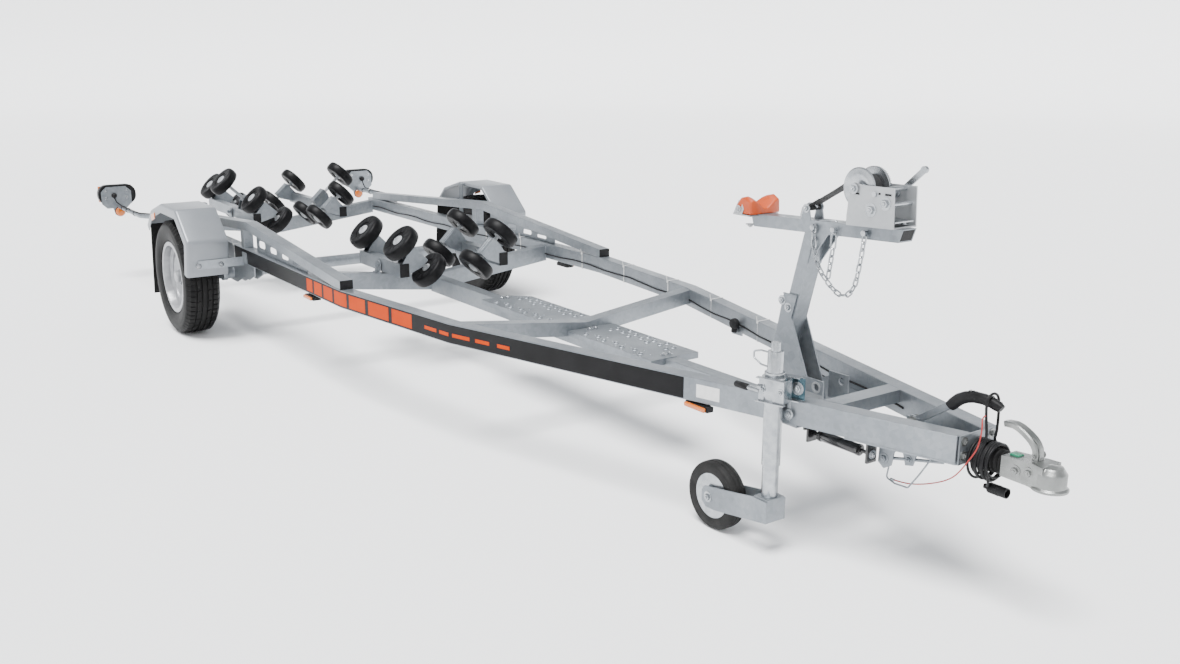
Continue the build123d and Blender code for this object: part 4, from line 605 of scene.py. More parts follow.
lines = [folded(depth) for depth, across in edge_section]
for side, name in both_sides:
    guard = Shape().skin([[(point.x, side * across, point.y)
                           for point, (depth, across) in zip(row, edge_section)] for row in zip(*lines)])
    low_y, high_y = side * 826, side * 990
    panel = [(369.5, low_y, 400), (369.5, high_y, 400), (380, high_y, 452), (380, low_y, 452)]
    guard.slab(panel, (4, 0, -0.8))
    guard.make(f"mudguard_{name}", guard_grey, "mudguards", crease=50)
    lens_y = side * 1016.5
    reflector = Shape().slab([(-232, lens_y, 590), (-160, lens_y, 610), (-160, lens_y, 645),
                              (-232, lens_y, 625)], (0, side * 5, 0))
    reflector.make(f"side_reflector_{name}", amber, bevel=2.0)
    for y in (845, 960):
        bolts.bolt((387, side * y, 428), (1, 0, 0.2), 15)
    for y in (835, 985):
        bolts.bolt((-352, side * y, 546), (-1, 0, 0.25), 13)
    for x in (-5, 15):
        bolts.bolt((x, side * 732, 478), (0, side, 0), 13)
    flap = Shape()
    for k in range(9):
        y = side * (818 + k * 22)
        rib = [(-359, y - 1.5, 500), (-359, y + 1.5, 500), (-405, y + 1.5, 170), (-405, y - 1.5, 170)]
        flap.slab(rib, (-3.2, 0, 0))
    flap.make(f"flap_ribs_{name}", rubber)
dress(rubber, "mud_flaps", edge=1.5)


# ---------------- rollers and their rockers
# Ribbed black rubber boat rollers with grey hub caps turn in pairs on steel rods. Each rod runs
# in a folded galvanised cradle, welded to a box tube that tilts on the cross beam's pivot.
roller_black = plain("roller_rubber", (0.0022, 0.0022, 0.0026), (0.0065, 0.0065, 0.0072), 0.42, 0.12, 30,
                     1500, gloss=0.12)
cap_grey = plain("hub_cap", (0.30, 0.315, 0.33), (0.39, 0.405, 0.42), 0.38, slot="zinc")
ahead = Vector((1, 0, 0))
rocker_pairs = {  # place ahead, to the side and up, tilt in degrees, half the rollers' spacing
    "front_rear": (944, 203.5, 545, 45, 103), "front_front": (1335, 203.5, 545, 45, 103),
    "rear_rear": (-1520, 208, 530, 42, 104), "rear_middle": (-936, 263.5, 575, 43.5, 173),
    "rear_front": (-690, 208, 530, 42, 104)}


def mirrored(half):
    """Profile of (radius, place along) carried on past its middle the other way round."""
    return half + [(radius, -along) for radius, along in half[::-1] if along]


def rod_axes(side, tilt):
    """A rod's own direction and the one square to it, upwards."""
    c, s = cos(radians(tilt)), sin(radians(tilt))
    return Vector((0, side * c, s)), Vector((0, -side * s, c))


roller_profile = mirrored([(24, -22), (44, -22), (47, -26), (58, -27.5), (76, -29), (84, -28.5), (89.5, -25),
                           (93, -18), (94.6, -8), (95, 0)])
outer_cap = [(28, 15), (27, 24), (23, 27), (14, 28.5), (13, 31), (9, 31.5)]
inner_cap = [(22, 15), (21, 24), (16, 26)]
for pair, (x, y, z, tilt, spacing) in rocker_pairs.items():
    for side, name in both_sides:
        body = f"rollers_{pair}_{name}"
        run, lift = rod_axes(side, tilt)
        across, middle = ahead.cross(run), Vector((x, side * y, z))
        treads, hubs = Shape(), Shape()
        for end in (-1, 1):
            hub = middle + run * spacing * end
            treads.turn(roller_profile, hub, run, 48, ends=False)
            for face in (-1, 1):
                for c, s in circle(12):
                    out = ahead * c + across * s
                    wide, proud = run.cross(out), run * 3.4 * face
                    rib = (hub + out * 46 + run * 24 * face, hub + out * 80 + run * 26.5 * face)
                    treads.skin([[p + wide * 2.2, p - wide * 2.2, p - wide * 1.6 + proud,
                                  p + wide * 1.6 + proud] for p in rib])
                hubs.turn(outer_cap if face == end else inner_cap, hub, run * face, 28)
            for c, s in circle(5, 0.5):
                dimple = hub + (ahead * c + across * s) * 19
                hubs.turn([(3.0, 27.2), (3.0, 29), (2, 29.6)], dimple, run * end, 8)
        rod = [(9, -spacing - 31.5), (10, -spacing - 30), (10, spacing + 30), (9, spacing + 31.5)]
        hubs.turn(rod, middle, run, 20)
        treads.make(f"roller_treads_{pair}_{name}", roller_black, body, body=body, crease=35)
        hubs.make(f"roller_hubs_{pair}_{name}", cap_grey, body=body, crease=30)

for end, rear_x, pivot_x, front_x, y, z, height in (("front", 905, 1139.5, 1362, 275, 489, 66),
                                                    ("rear", -1546, -1080, -664, 283, 484, 64)):
    for side, name in both_sides:
        caps, trim, body = Shape(), Shape(), f"rocker_{end}_{name}"
        dress(galvanised, body, edge=0.8)
        for low_x, high_x in ((rear_x - 5, rear_x), (front_x, front_x + 5)):
            caps.bar((low_x, side * y - 24, z - height / 2), (high_x, side * y + 24, z + height / 2))
        for pair, (pair_x, pair_y, pair_z, tilt, spacing) in rocker_pairs.items():
            if not pair.startswith(end):
                continue
            run, lift = rod_axes(side, tilt)
            inboard = -36 if pair == "rear_middle" else 0
            middle = Vector((pair_x, side * pair_y, pair_z)) + run * inboard
            for offset in (-9, 9):
                trim.tube([middle + run * s + lift * (26.8 if abs(s) < 41 else 25.2) + ahead * offset
                           for s in (-46, -40, -20, 0, 20, 40, 46)], 3.2, 8)
            for way in (-1, 1):
                rim, edge = middle + ahead * 28.5 * way, ahead * 4 * way
                trim.skin([[rim + run * s + lift * 27.4, rim + run * s + lift * 24.4,
                            rim + run * s + lift * 24.4 - edge, rim + run * s + lift * 27.4 - edge]
                           for s in (-52, 52)])
        for way in (-1, 1):
            trim.bolt((pivot_x, side * y + way * 43, z), (0, way, 0), 19)
        caps.make(f"rocker_caps_{end}_{name}", moulded, body=body, bevel=1.5)
        trim.make(f"rocker_trim_{end}_{name}", galvanised, body=body, crease=40)


# ---------------- rear lamps
# Each lamp is a black moulded housing on an eight-sided galvanised plate at the end of a bent
# tube, with lens fields in red, amber and white, a reflecting triangle and an amber outline lamp.
red_lens = plain("lens_red", (0.34, 0.003, 0.003), (0.46, 0.008, 0.006), 0.1, 0.04, 260, 420, 0.0005,
                 Coat_Weight=0.7)
clear_lens = plain("lens_clear", (0.60, 0.61, 0.62), (0.70, 0.71, 0.72), 0.1, 0.04, 260, 420, 0.0005,
                   Coat_Weight=0.7, slot="lens_red")
dress(galvanised, "lamp_arms")
plate_x, rim_x, lens_x = -1704, -1763, -1790
arm_y, arm_z, clamp_y = 850, 485, 743.5


def rounded_box(side, low, high, z_low, z_high, radius, x, x2):
    """Two rings, at x and x2, of a box with rounded corners."""
    corners = []
    for y, z, start in ((high - radius, z_high - radius, 0), (low + radius, z_high - radius, 90),
                        (low + radius, z_low + radius, 180), (high - radius, z_low + radius, 270)):
        for angle in (radians(start + 15 * k) for k in range(7)):
            corners.append((side * (y + radius * cos(angle)), z + radius * sin(angle)))
    return [[(place, y, z) for y, z in corners] for place in (x, x2)]


def block(part, side, low, high, z_low, z_high, x=rim_x, x2=lens_x):
    """Box pushed along the trailer from x to x2."""
    corners = ((low, z_low), (high, z_low), (high, z_high), (low, z_high))
    return part.slab([(x, side * y, z) for y, z in corners], (x2 - x, 0, 0))


for side, name in both_sides:
    shell, red, screws, cable = Shape(), Shape(), Shape(), Shape()
    shell.skin(rounded_box(side, 739, 975, 498, 630, 60, plate_x, -1736))
    shell.skin(rounded_box(side, 742, 972, 501, 627, 58, -1735, rim_x))
    for y in range(770, 931, 40):
        block(shell, side, y, y + 3, 500.5, 627, plate_x, plate_x + 1.4)
    gland = [(17, 0), (17, 12), (14, 14), (11, 16), (11, 26), (8, 30)]
    shell.turn(gland, (plate_x + 5, side * 880, 560), (1, 0, 0), 20)
    shell.make(f"lamp_shell_{name}", moulded, "lamp_housings", bevel=3.0)
    outer = block(Shape(), side, 893, 962, 512, 616)
    outer.make(f"lamp_amber_{name}", amber, "lamp_lenses", bevel=7.0, segments=4)
    block(red, side, 752, 891, 566, 616)
    block(red, side, 822, 891, 512, 564)
    red.slab([(lens_x, side * 760, 573), (lens_x, side * 812, 573), (lens_x, side * 786, 612)], (-2.5, 0, 0))
    red.make(f"lamp_red_{name}", red_lens, "lamp_lenses", bevel=5.0, segments=3)
    white = block(Shape(), side, 752, 820, 512, 564)
    white.make(f"lamp_clear_{name}", clear_lens, "lamp_lenses", bevel=5.0, segments=3)
    for y in (745.5, 968.5):
        screws.bolt((rim_x + 1, side * y, 564), (-1, 0, 0), 5, washer=False, length=3)
    for y in (800, 930):
        for z in (545, 590):
            screws.bolt((plate_x + 4, side * y, z), (1, 0, 0), 10)
    screws.make(f"lamp_screws_{name}", zinc_plate)
    outline_place = (plate_x + 4, side * arm_y, 452)
    outline = Shape().turn([(30, 0), (30, 8), (26, 14), (14, 17), (1, 18)], outline_place, (1, 0, 0), 28)
    outline.make(f"outline_lamp_{name}", amber)
    cable.turn([(33, -1), (33, 4), (30.5, 5)], outline_place, (1, 0, 0), 28)
    cable.tube([(x, side * y, z) for x, y, z in (
        (-1690, 880, 545), (-1660, 876, 520), (-1600, 862, 503), (-1450, 858, 500), (-1250, 855, 502),
        (-1180, 850, 503), (-1010, 746, 503), (-900, 738, 503))], 4.0)
    for x in (-1600, -1480, -1300):
        band = [(15.2, -5), (16.4, -4), (16.4, 4), (15.2, 5)]
        cable.turn(band, (x, side * arm_y, arm_z), (1, 0, 0), 20)
    cable.make(f"lamp_cable_{name}", sheath, slot="rubber")
    for x in (-870, -960):
        band = [(14.3, -10), (16.2, -10), (16.2, 10), (14.3, 10)]
        clamp = Shape().turn(band, (x, side * clamp_y, arm_z), (1, 0, 0), 24, ends=False)
        clamp.bolt((x, side * clamp_y, 500), (0, 0, 1), 10)
        clamp.make(f"lamp_arm_clamp_{name}_{-x}", zinc_plate)


# ---------------- marker lamps under the rails
# Amber lenses with a black moulded base, two under each rail: one near the nose and one at
# the side ahead of the front cross beam. Each base is screwed up against the rail.
for side, name in both_sides:
    for tag, x, half, low_y, high_y, low_z in (
            ("front", 3557, 56, rail_face(3557) - 26, rail_face(3557) + 14, 396),
            ("side", 1279, 51, 685, 737, 390)):
        base = Shape().bar((x - half + 1, side * (low_y + 1), low_z + 1),
                           (x + half - 1, side * (high_y - 12), low_z + 19))
        base.bar((x - half + 14, side * (low_y + 1), low_z + 17), (x + half - 14, side * (low_y + 14), 420))
        base.make(f"marker_base_{tag}_{name}", moulded, "side_markers", bevel=1.5)
        glass = Shape().bar((x - half + 6, side * (high_y - 12), low_z + 2),
                            (x + half - 6, side * high_y, low_z + 18))
        glass.make(f"marker_lens_{tag}_{name}", amber, "side_markers", bevel=5.0, segments=3)


# ---------------- winch post and bow stop
# A galvanised box-tube post leans back between two flared side plates over a pressed foot
# saddle. Its arm carries an orange polyurethane bow stop on a bent steel saddle.
dress(galvanised, "winch_post", edge=1.2)
stop_orange = plain("orange_stop", (0.40, 0.046, 0.0), (0.47, 0.058, 0.0), 0.42, 0.12, 14, 900, 0.0004)
pale_sheet = galvanise("galvanised_sheet", (0.36, 0.372, 0.384), (0.48, 0.492, 0.504), 0.44, "galvanised")
wing = {66: [(3438, 1003), (3440, 1026), (3458, 1046), (3484, 1053), (3506, 1042), (3508, 1003)],
        58: [(3430, 1003), (3431, 1030), (3454, 1055), (3486, 1063), (3511, 1049), (3512, 1003)],
        40: [(3422, 1003), (3422, 1028), (3450, 1049), (3486, 1055), (3513, 1044), (3514, 1003)],
        22: [(3417, 1003), (3416, 1020), (3444, 1033), (3484, 1036), (3512, 1031), (3514, 1003)],
        8: [(3415, 1003), (3414, 1014), (3440, 1023), (3480, 1024), (3510, 1021), (3512, 1003)]}
rows = [*wing.items(), *[(-y, wing[y]) for y in sorted(wing)]]
block = Shape().skin([[(x, y, z) for x, z in row] for y, row in rows])
block.make("bow_stop_block", stop_orange, "bow_snubber", bevel=4.0, segments=3)
stop = Shape()
for side in (-1, 1):
    ear_y = side * 66.6
    stop.slab([(3428, ear_y, 1000), (3470, ear_y, 1000), (3478, ear_y, 1018), (3462, side * 62, 1044),
               (3446, side * 60, 1046)], (0, side * 2.4, 0))
    stop.bolt((3452, side * 69, 1018), (0, side, 0), 13)
    for x, z in ((3640, 740), (3625, 470), (3668, 720)):
        bolts.bolt((x, side * 35, z), (0, side, 0))
stop.bar((3424, -66, 996), (3504, 66, 1000.5))
stop.bolt((3440, 0, 960), (0, 0, -1))
stop.make("bow_stop_saddle", pale_sheet, bevel=0.8)
plugs = Shape()
plugs.slab([(4086, -25.5, 993), (4098, -25.5, 1027), (4101, -25.5, 1027), (4089, -25.5, 993)], (0, 51, 0))
plugs.slab([(3487, -29.5, 961.5), (3503, -29.5, 962.3), (3489, -29.5, 1001), (3473, -29.5, 1000.2)],
           (0, 59, 0))
plugs.make("winch_arm_plugs", moulded, bevel=1.5)
cheeks, seams = Shape(), Shape()
for side in (-1, 1):
    face_y, proud_y = side * 60.2, side * 61.4
    cheeks.skin([[(3831 + radius * c, y, 495 + radius * s) for c, s in circle(24)] for radius, y in (
        (12.4, face_y), (12.4, proud_y), (19, proud_y), (19, face_y), (12.4, face_y))], ends=False)
    cheeks.bar((3779, side * 60.1, 432), (3858, side * 60.9, 474))
    weld(seams, (3646, side * 36, 765), (3704, side * 36, 765), 2.6)
    weld(seams, (3757, side * 31, 962), (3737, side * 31, 870), 2.4)
    weld(seams, (3720, side * 28, 961.5), (3764, side * 28, 963.5), 2.6)
cheeks.make("saddle_cheeks", pale_sheet)
seams.make("post_welds", galvanised)


# ---------------- winch and its strap
# Hand winch in a folded bright frame: two plain flanges hold the black polyester webbing, a
# large gear meshes with the crank's pinion, and the strap ends in a sewn loop on a pin.
dress(pale_sheet, "winch_frame", edge=0.9)
dress(zinc_plate, "winch_crank", edge=0.8)
webbing = Finish("webbing", Roughness=0.75)
weave = webbing.add("TexWave", {"wave_type": "BANDS", "bands_direction": "Y"},
                    {"Vector": webbing.place(), "Scale": 160.0, "Distortion": 1.5})
weft = webbing.add("TexWave", {"wave_type": "BANDS", "bands_direction": "X"},
                   {"Vector": webbing.place(), "Scale": 260.0})
webbing.feed(Base_Color=webbing.blend(weave * weft, (0.008, 0.008, 0.009), (0.03, 0.03, 0.032)))
webbing.dent(weave + weft, 0.0006)
drum_x, drum_z, pin_x, pin_z, shaft_x, shaft_z = 3932.0, 1133.0, 3722.0, 1048.0, 4009, 1124
drum_place, teeth, strap_half, crank_reach = (drum_x, 0, drum_z), 60, 25, 106
drum = Shape()
for face in (-1, 1):
    drum.turn([(10, 31), (24, 31.5), (46, 31.2), (56, 31.2), (60.5, 29.6), (62, 30.4), (62, 32), (60, 33),
               (56, 34), (48, 34), (44, 35.4), (26, 35.4), (22, 33.6), (10, 33.6)],
              drum_place, (0, face, 0), 56, ends=False)
    drum.bolt((drum_x, face * 56, drum_z), (0, face, 0))
drum.turn([(8, -57), (9, -56), (9, 56), (8, 57)], drum_place, (0, 1, 0), 20)
drum.turn([(22, -31), (22, 31)], drum_place, (0, 1, 0), 24)
gear = []
for k in range(teeth):
    for share, radius in ((0.0, 57.2), (0.3, 57.6), (0.42, 61.4), (0.62, 61.4), (0.74, 57.6)):
        angle = tau * (k + share) / teeth
        gear.append((drum_x + radius * cos(angle), 35.6, drum_z + radius * sin(angle)))
drum.slab(gear, (0, 6, 0))
drum.make("winch_drum_flanges", zinc_plate, "winch_drum", body="winch_drum", crease=28)
wound = Shape()
for k in range(4):
    edge_y = strap_half - 0.3 * k
    wound.turn([(34 + k, -edge_y), (35.1 + k, -edge_y - 0.2), (35.1 + k, edge_y + 0.2), (34 + k, edge_y)],
               drum_place, (0, 1, 0), 48)
wound.make("strap_winding", webbing, body="winch_drum")
run_x, run_z = drum_x - pin_x, drum_z - pin_z
drum_r, pin_r = 39.55, 7.55
slope = atan2(run_z, run_x) + asin((drum_r - pin_r) / hypot(run_x, run_z))
square = Vector((-sin(slope), 0, cos(slope)))
top_end, low_end = Vector(drum_place) + drum_r * square, Vector((pin_x, 0, pin_z)) + pin_r * square
strap = Shape()


def swept(path, sections):
    """Rings of (place across, place above), one at each point of a path in the middle plane."""
    rings = []
    for i, section in enumerate(sections):
        run = course(path, i)
        lift = Vector((-run.z, 0, run.x))
        rings.append([path[i] + Vector((0, across, 0)) + lift * above for across, above in section])
    return rings


def strap_band(path, half_t):
    """Flat webbing along a path."""
    flat = [(-strap_half, -half_t), (strap_half, -half_t), (strap_half, half_t), (-strap_half, half_t)]
    strap.skin(swept(path, [flat] * len(path)))


sag = Vector((0, 0, -3.2))
strap_band([low_end.lerp(top_end, i / 12) + sag * sin(pi * i / 12) for i in range(13)], 1.2)
loop = []
for k in range(15):
    angle = slope + pi / 2 + k * radians(300) / 14
    loop.append(Vector((pin_x + pin_r * cos(angle), 0, pin_z + pin_r * sin(angle))))
strap_band(loop, 1.2)
strap_band([low_end.lerp(top_end, i / 30) - square * 2.6 for i in range(9)], 1.1)
for k in range(5):
    stitch, half_row = low_end.lerp(top_end, 0.08 + 0.035 * k) + square * 1.4, Vector((0, 22, 0))
    strap.tube([stitch - half_row, stitch + half_row], 0.9, 6)
strap.make("winch_webbing", webbing, "winch_strap")
fittings, slot_shade = Shape(), Shape()
fittings.tube([(pin_x - 26, -14, 1004), (pin_x - 34, -14, 1022), (pin_x - 30, -12, 1044),
               (pin_x - 12, -6, 1058), (pin_x + 6, 0, 1060), (pin_x + 14, 6, 1050)], 5.5, 12)
fittings.tube([(pin_x + 44, -18, 1012), (pin_x + 60, -18, 1016), (pin_x + 84, -12, 1018),
               (pin_x + 106, -4, 1015)], 4.5)
for face in (-1, 1):
    for x, y, z, width in ((pin_x, 31, pin_z, 15), (3997, 51, 1077, 22), (4049, 51, 1101, 22)):
        fittings.bolt((x, face * y, z), (0, face, 0), width)
    for x in (3935, 4055):
        fittings.bolt((x, face * 30, 1029 + 0.048 * (x - 3911)), (0, 0, 1), 13)
fittings.bar((3908, -40, 1046), (4080, 40, 1049.5))
for x, z, radius in ((4040, 1140, 7), (4062, 1098, 6)):
    fittings.tube([(x, 50, z), (x, -50, z)], radius, 12)
fittings.make("winch_hardware", zinc_plate)
# Thin black bars on the winch's right side plate are painted shade: they stand for the dark seen through its
# slots, which are not cut.
for x, z, half in ((3940, 1119, 11), (4026, 1127, 4), (4058, 1127, 12)):
    slot_shade.bar((x - half, -51.5, z - 3), (x + half, -50.9, z + 3))
slot_shade.make("winch_plate_slot_shade", moulded, bevel=1.5)
crank_angle = radians(42)
tip = (shaft_x + crank_reach * cos(crank_angle), 64, shaft_z + crank_reach * sin(crank_angle))
crank = Shape().turn([(7, 0), (8, 2), (8, 10), (6, 12)], tip, (0, 1, 0), 16)
crank.bolt((shaft_x, 67, shaft_z), (0, 1, 0))
crank.make("crank_knob", zinc_plate, body="winch_crank")


# ---------------- safety chain
# Short-link zinc-plated chain with one larger link, hung in a loop between two eyes on the right
# side of the winch arm. A third eye between them carries a quick link and a short end of chain.
chain_y = -38
chain_way = [Vector((x, chain_y, z)) for x, z in (
    (3765, 1000), (3768, 945), (3780, 900), (3806, 858), (3846, 823), (3886, 803), (3922, 812), (3945, 848),
    (3955, 895), (3963, 942), (3970, 1000))]
smooth, held = [], chain_way[:1] + chain_way + chain_way[-1:]
for p0, p1, p2, p3 in zip(held, held[1:], held[2:], held[3:]):
    for t in (k / 12 for k in range(12)):
        smooth.append(0.5 * (2 * p1 + (p2 - p0) * t + (2 * p0 - 5 * p1 + 4 * p2 - p3) * t * t
                             + (3 * p1 - p0 - 3 * p2 + p3) * t ** 3))
smooth.append(chain_way[-1])
walk, total = [], 0.0
for before, after in zip(smooth, smooth[1:]):
    walk.append((total, before, (after - before).normalized()))
    total += (after - before).length
chain = Shape()
sideways = Vector((0, 1, 0))
larger_link, quick_link = (40, 24, 6.4), (56, 26, 6.0)  # length, width and wire


def chain_link(centre, along, flat, length=33, width=19, wire=5.2):
    """One oval link of round wire."""
    bow, straight = width / 2 - wire / 2, length / 2 - width / 2
    path = []
    for way in (1, -1):
        for angle in (pi * (k / 8 - 0.5) for k in range(9)):
            reach = straight + bow * cos(angle)
            path.append(centre + along * way * reach + flat * way * bow * sin(angle))
    rings, other = [], along.cross(flat).normalized()
    for i, point in enumerate(path):
        run = (path[(i + 1) % len(path)] - path[i - 1]).normalized()
        side = run.cross(other).normalized()
        rings.append([point + wire / 2 * (c * side + s * other) for c, s in circle(8)])
    chain.skin(rings + rings[:1], ends=False)


pitch = 23.0
count = int(total / pitch)
for i in range(count):
    goal = (i + 0.5) * total / count
    _, spot, along = [step for step in walk if step[0] <= goal][-1]
    flat = sideways if i % 2 else along.cross(sideways).normalized()
    chain_link(spot, along, flat, *(larger_link if i == 2 else ()))
chain_link(Vector((3848, chain_y, 962)), Vector((0.05, 0, 1)).normalized(), ahead, *quick_link)
along = Vector((0.14, 0, 1)).normalized()
for i in range(4):
    flat = along.cross(sideways) if i % 2 else sideways
    chain_link(Vector((3846, chain_y, 926)) - along * pitch * i, along, flat)
for x in (3765, 3849, 3970):
    eye_z = 981 + (x - 3490) * 29 / 598
    chain.turn([(6, 0), (6, 14), (9, 14.5), (9, 18), (5, 19)], (x, -30, eye_z), (0, -1, 0), 16)
chain.make("chain_links", zinc_plate, "safety_chain")


# ---------------- coupling, bellows and handbrake
# Pressed and zinc-plated coupling head with a blank green tag, bolted to the sliding drawbar, and a
# rubber bellows over the bar. The flat handbrake lever has an arched black moulded grip, and the
# brake's gas spring and galvanised linkage are bolted under the bar.
bright_zinc = plain("coupling_zinc", (0.17, 0.176, 0.172), (0.31, 0.318, 0.31), 0.28, 0.14, 16, 700,
                    0.0003, 0.85, slot="zinc")
gas_black = plain("damper_black", (0.0042, 0.0042, 0.0046), (0.0092, 0.0092, 0.0101), 0.25, 0.1, 20, 800,
                  0.0001, Coat_Weight=0.4)
tag_green = plain("green_tag", (0.006, 0.132, 0.072), (0.012, 0.204, 0.108), 0.35, slot="black_plastic")
dress(bright_zinc, "coupling_head", edge=3.0)
dress(rubber, "bellows")
dress(galvanised, "overrun_housing", "handbrake_lever", edge=1.2)
dress(gas_black, "overrun_damper", edge=1.0)
handle_line = [(4474, 547, 10), (4482, 549.5, 13), (4505, 551, 14.5), (4521, 547, 15.5), (4536, 540, 16),
               (4549, 532.5, 16.5), (4561, 524, 17), (4570, 514.5, 17), (4577, 503, 17), (4580, 490, 17),
               (4580, 472.3, 17)]  # place ahead, height, half width
channel = ((-1, -8), (-1, 4.5), (-0.8, 8), (0.8, 8), (1, 4.5), (1, -8), (0.82, -8), (0.82, 3), (0.7, 5),
           (-0.7, 5), (-0.82, 3), (-0.82, -8))
sections = [[(across * wide, above) for across, above in channel] for x, z, wide in handle_line]
handle = Shape().skin(swept([Vector((x, 0, z)) for x, z, wide in handle_line], sections))
handle.make("coupling_handle_shell", bright_zinc, "coupling_handle", crease=30)
grip_line = [(4291, 548, 17), (4300, 560, 20), (4318, 577, 20.5), (4340, 588.5, 19.5), (4356, 592.5, 18.5),
             (4370, 595, 17.6), (4400, 596, 16.6), (4426, 592, 15.6), (4444, 586, 14.5),
             (4455, 579, 9)]  # place ahead, height, depth below
half_width, top = 14.6, 15
rounded = [(copysign(abs(c) ** 0.8, c), copysign(abs(s) ** 0.8, s)) for c, s in circle(24)]
sections = [[(half_width * min(1, low / 14) * c, (low if s < 0 else top) * s) for c, s in rounded]
            for x, z, low in grip_line]
grip = Shape().skin(swept([Vector((x, 0, z)) for x, z, low in grip_line], sections))
for k in range(9):
    x, z = 4352 + 9 * k, 595 + 0.6 * sin(k)
    grip.tube([(x, y, z + rise) for y, rise in (
        (-14.2, -4), (-12, 8), (-6, 13.4), (0, 14.4), (6, 13.4), (12, 8), (14.2, -4))], 1.3, 8)
grip.turn([(5.5, 0), (6.5, 2), (6.5, 5), (4, 6)], (4441, 13, 589), (0, 1, 0), 18)
grip.make("handbrake_grip_shell", moulded, "handbrake_grip", crease=45)
nose = Shape()
for side in (-1, 1):
    for x, y, z, width in ((4536, 33, 436, 17), (4577, 34.5, 442, 17), (4172, 12, 470, 17),
                           (4580, 17, 486, 11)):
        nose.bolt((x, side * y, z), (0, side, 0), width)
    for z in (440, 482):
        nose.bolt((4391, side * 62, z), (1, 0, 0), 15)
nose.tube([(4590, -9, 474), (4591, -9, 492), (4584, -9, 516), (4566, -9, 532)], 2.2, 8)
nose.turn([(44, -26.5), (48.5, -26.5), (49, -24), (48.5, -20.5), (44, -19.5)], (4622, 0, 430), (0, 0, 1), 48,
          ends=False)
nose.make("coupling_hardware", bright_zinc, crease=35)
Shape().bar((4502, -14, 465.5), (4532, 12, 472)).make("coupling_tag", tag_green, bevel=2.5)
spring = Shape()
spring_y, spring_z = -130, 378
spring.turn([(19, 0), (19, 8), (17.4, 9)], (3925, spring_y, spring_z), (1, 0, 0), 24)
spring.turn([(17.4, 0), (18.4, 1), (18.4, 10), (12, 12), (12, 16)], (4075, spring_y, spring_z), (1, 0, 0), 24)
spring.make("damper_collars", gas_black)
for x, way in ((3898, -1), (4130, 1)):
    bolts.bolt((x, spring_y, spring_z), (way, 0, 0), 15)
linkage = Shape()
linkage.slab([(4140, -112, 410), (4196, -112, 410), (4186, -112, 356), (4160, -112, 340), (4138, -112, 356)],
             (0, 6, 0))
linkage.slab([(4210, -96, 412), (4262, -96, 412), (4250, -96, 372), (4224, -96, 366)], (0, 6, 0))
linkage.tube([(4160, -104, 372), (4240, -92, 388), (4330, -60, 400)], 5)
linkage.bolt((4160, -112, 372), (0, -1, 0))
linkage.bolt((4236, -96, 388), (0, -1, 0), 13)
linkage.make("brake_linkage", galvanised, bevel=0.8)


# ---------------- jockey wheel
# Telescopic zinc-plated jockey wheel in a hinged clamp on the right rail: outer tube with its
# spindle crank on top, inner leg, swivelling fork and a solid rubber tyre on a steel rim.
dress(zinc_plate, "jockey_tube", "jockey_leg", edge=0.8)
dress(galvanised, "jockey_fork", edge=1.0)
dress(zinc_plate, "jockey_clamp", "jockey_rim", edge=0.8)
blue_zinc = plain("blue_zinc", (0.03, 0.072, 0.09), (0.144, 0.216, 0.252), 0.22, 0.12, 9, 500, metal=0.9,
                  slot="zinc")
jockey_black = plain("jockey_rubber", (0.0084, 0.0084, 0.0084), (0.0189, 0.0185, 0.0181), 0.6, grain=30,
                     fine=1200, depth=0.0003, gloss=0.15)
hub = Vector((3622.0, -273.0, 114.5))
tyre_profile = mirrored([(76.4, -27), (80, -27.5), (92, -29.5), (96, -29), (104, -30), (109, -28),
                         (112.5, -22), (114.2, -15), (114.5, -11), (112.8, -10), (112.8, -7), (114.5, -6)])
tyre = Shape().turn(tyre_profile, hub, (0, 1, 0), 64, ends=False)
tyre.make("jockey_tyre_tread", jockey_black, "jockey_tyre", body="jockey_wheel", crease=40)
rim_trim, axle_nuts = Shape(), Shape()
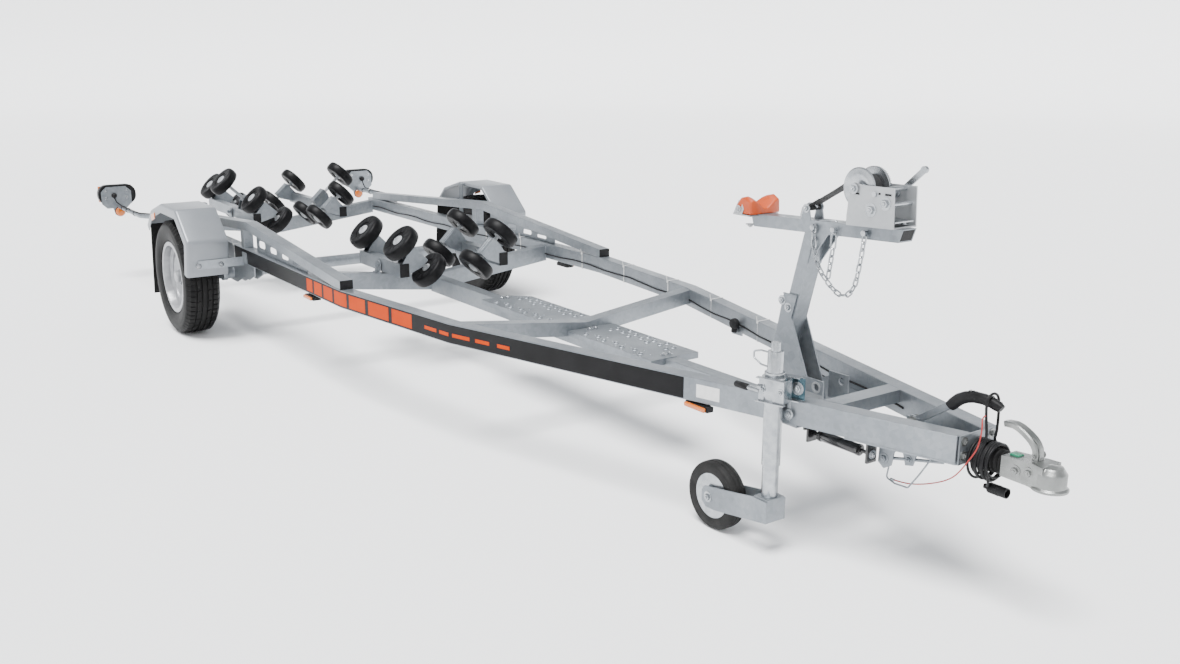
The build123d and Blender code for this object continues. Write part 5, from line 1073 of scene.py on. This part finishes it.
for face in (-1, 1):
    out = Vector((0, face, 0))
    for c, s in circle(6):
        rim_trim.bolt(hub + out * 6 + Vector((48 * c, 0, 48 * s)), out, 10, washer=False, length=6)
    rim_trim.turn([(24, 5), (34, 6), (36, 9), (62, 9), (66, 14), (70, 24), (75, 26)], hub, out, 48)
    axle_nuts.bolt(hub + out * 41, out, 19)
rim_trim.make("jockey_rim_trim", zinc_plate, body="jockey_wheel", crease=30)
axle_nuts.make("jockey_axle_nuts", zinc_plate, body="jockey_fork")
rail_turn = atan2(538, 1935)
along = Vector((cos(rail_turn), sin(rail_turn), 0))
outward = Vector((along.y, -along.x, 0))
foot = Vector((3860, -rail_face(3860), 0))


def rail_side(run, z, proud):
    """Place on the right rail's outer face at the clamp, proud of it."""
    return foot + along * run + outward * proud + Vector((0, 0, z))


corners = [rail_side(run, z, 4.1) for run, z in ((25, 507), (75.5, 507), (75.5, 575), (25, 575))]
Shape().slab(corners, outward * 0.9).make("bracket_web", blue_zinc)
strap, lever = Shape(), Shape()
for low, high, near, far, z, top in ((-44, 42, 70, 73.5, 503, 573), (-44, -40.5, 6, 70, 503, 573),
                                     (38.5, 42, 26, 70, 503, 573), (-50, 47, 68, 84, 573, 576.5),
                                     (-50, 47, 68, 84, 499.5, 503)):
    outline = ((low, near), (high, near), (high, far), (low, far))
    strap.slab([rail_side(run, z, proud) for run, proud in outline], (0, 0, top - z))
strap.bolt(rail_side(50, 541, 5), outward, 22)
for run in (-30, 30):
    strap.bolt(rail_side(run, 538, 73.5), outward, 13)
strap.make("clamp_strap", zinc_plate, bevel=0.8)
for run in (-26, 26):
    lever.bolt(rail_side(run, 456, 9.8), outward)
lever.turn([(9, -8), (9, 8)], (3842, -312, 545), (1, 0, 0.05), 16)
lever_end = (3775, -300, 524)
lever.tube([(3832, -306, 528), (3810, -304, 527), lever_end, (3752, -300, 523)], 7, 12)
lever.make("clamp_lever", zinc_plate)
handle = Shape().turn([(9, 0), (10.5, 3), (10.5, 52), (8, 56)], lever_end, (-1, 0, -0.02), 18)
handle.make("clamp_lever_grip", moulded)
bolts.make("frame_bolts", zinc_plate)
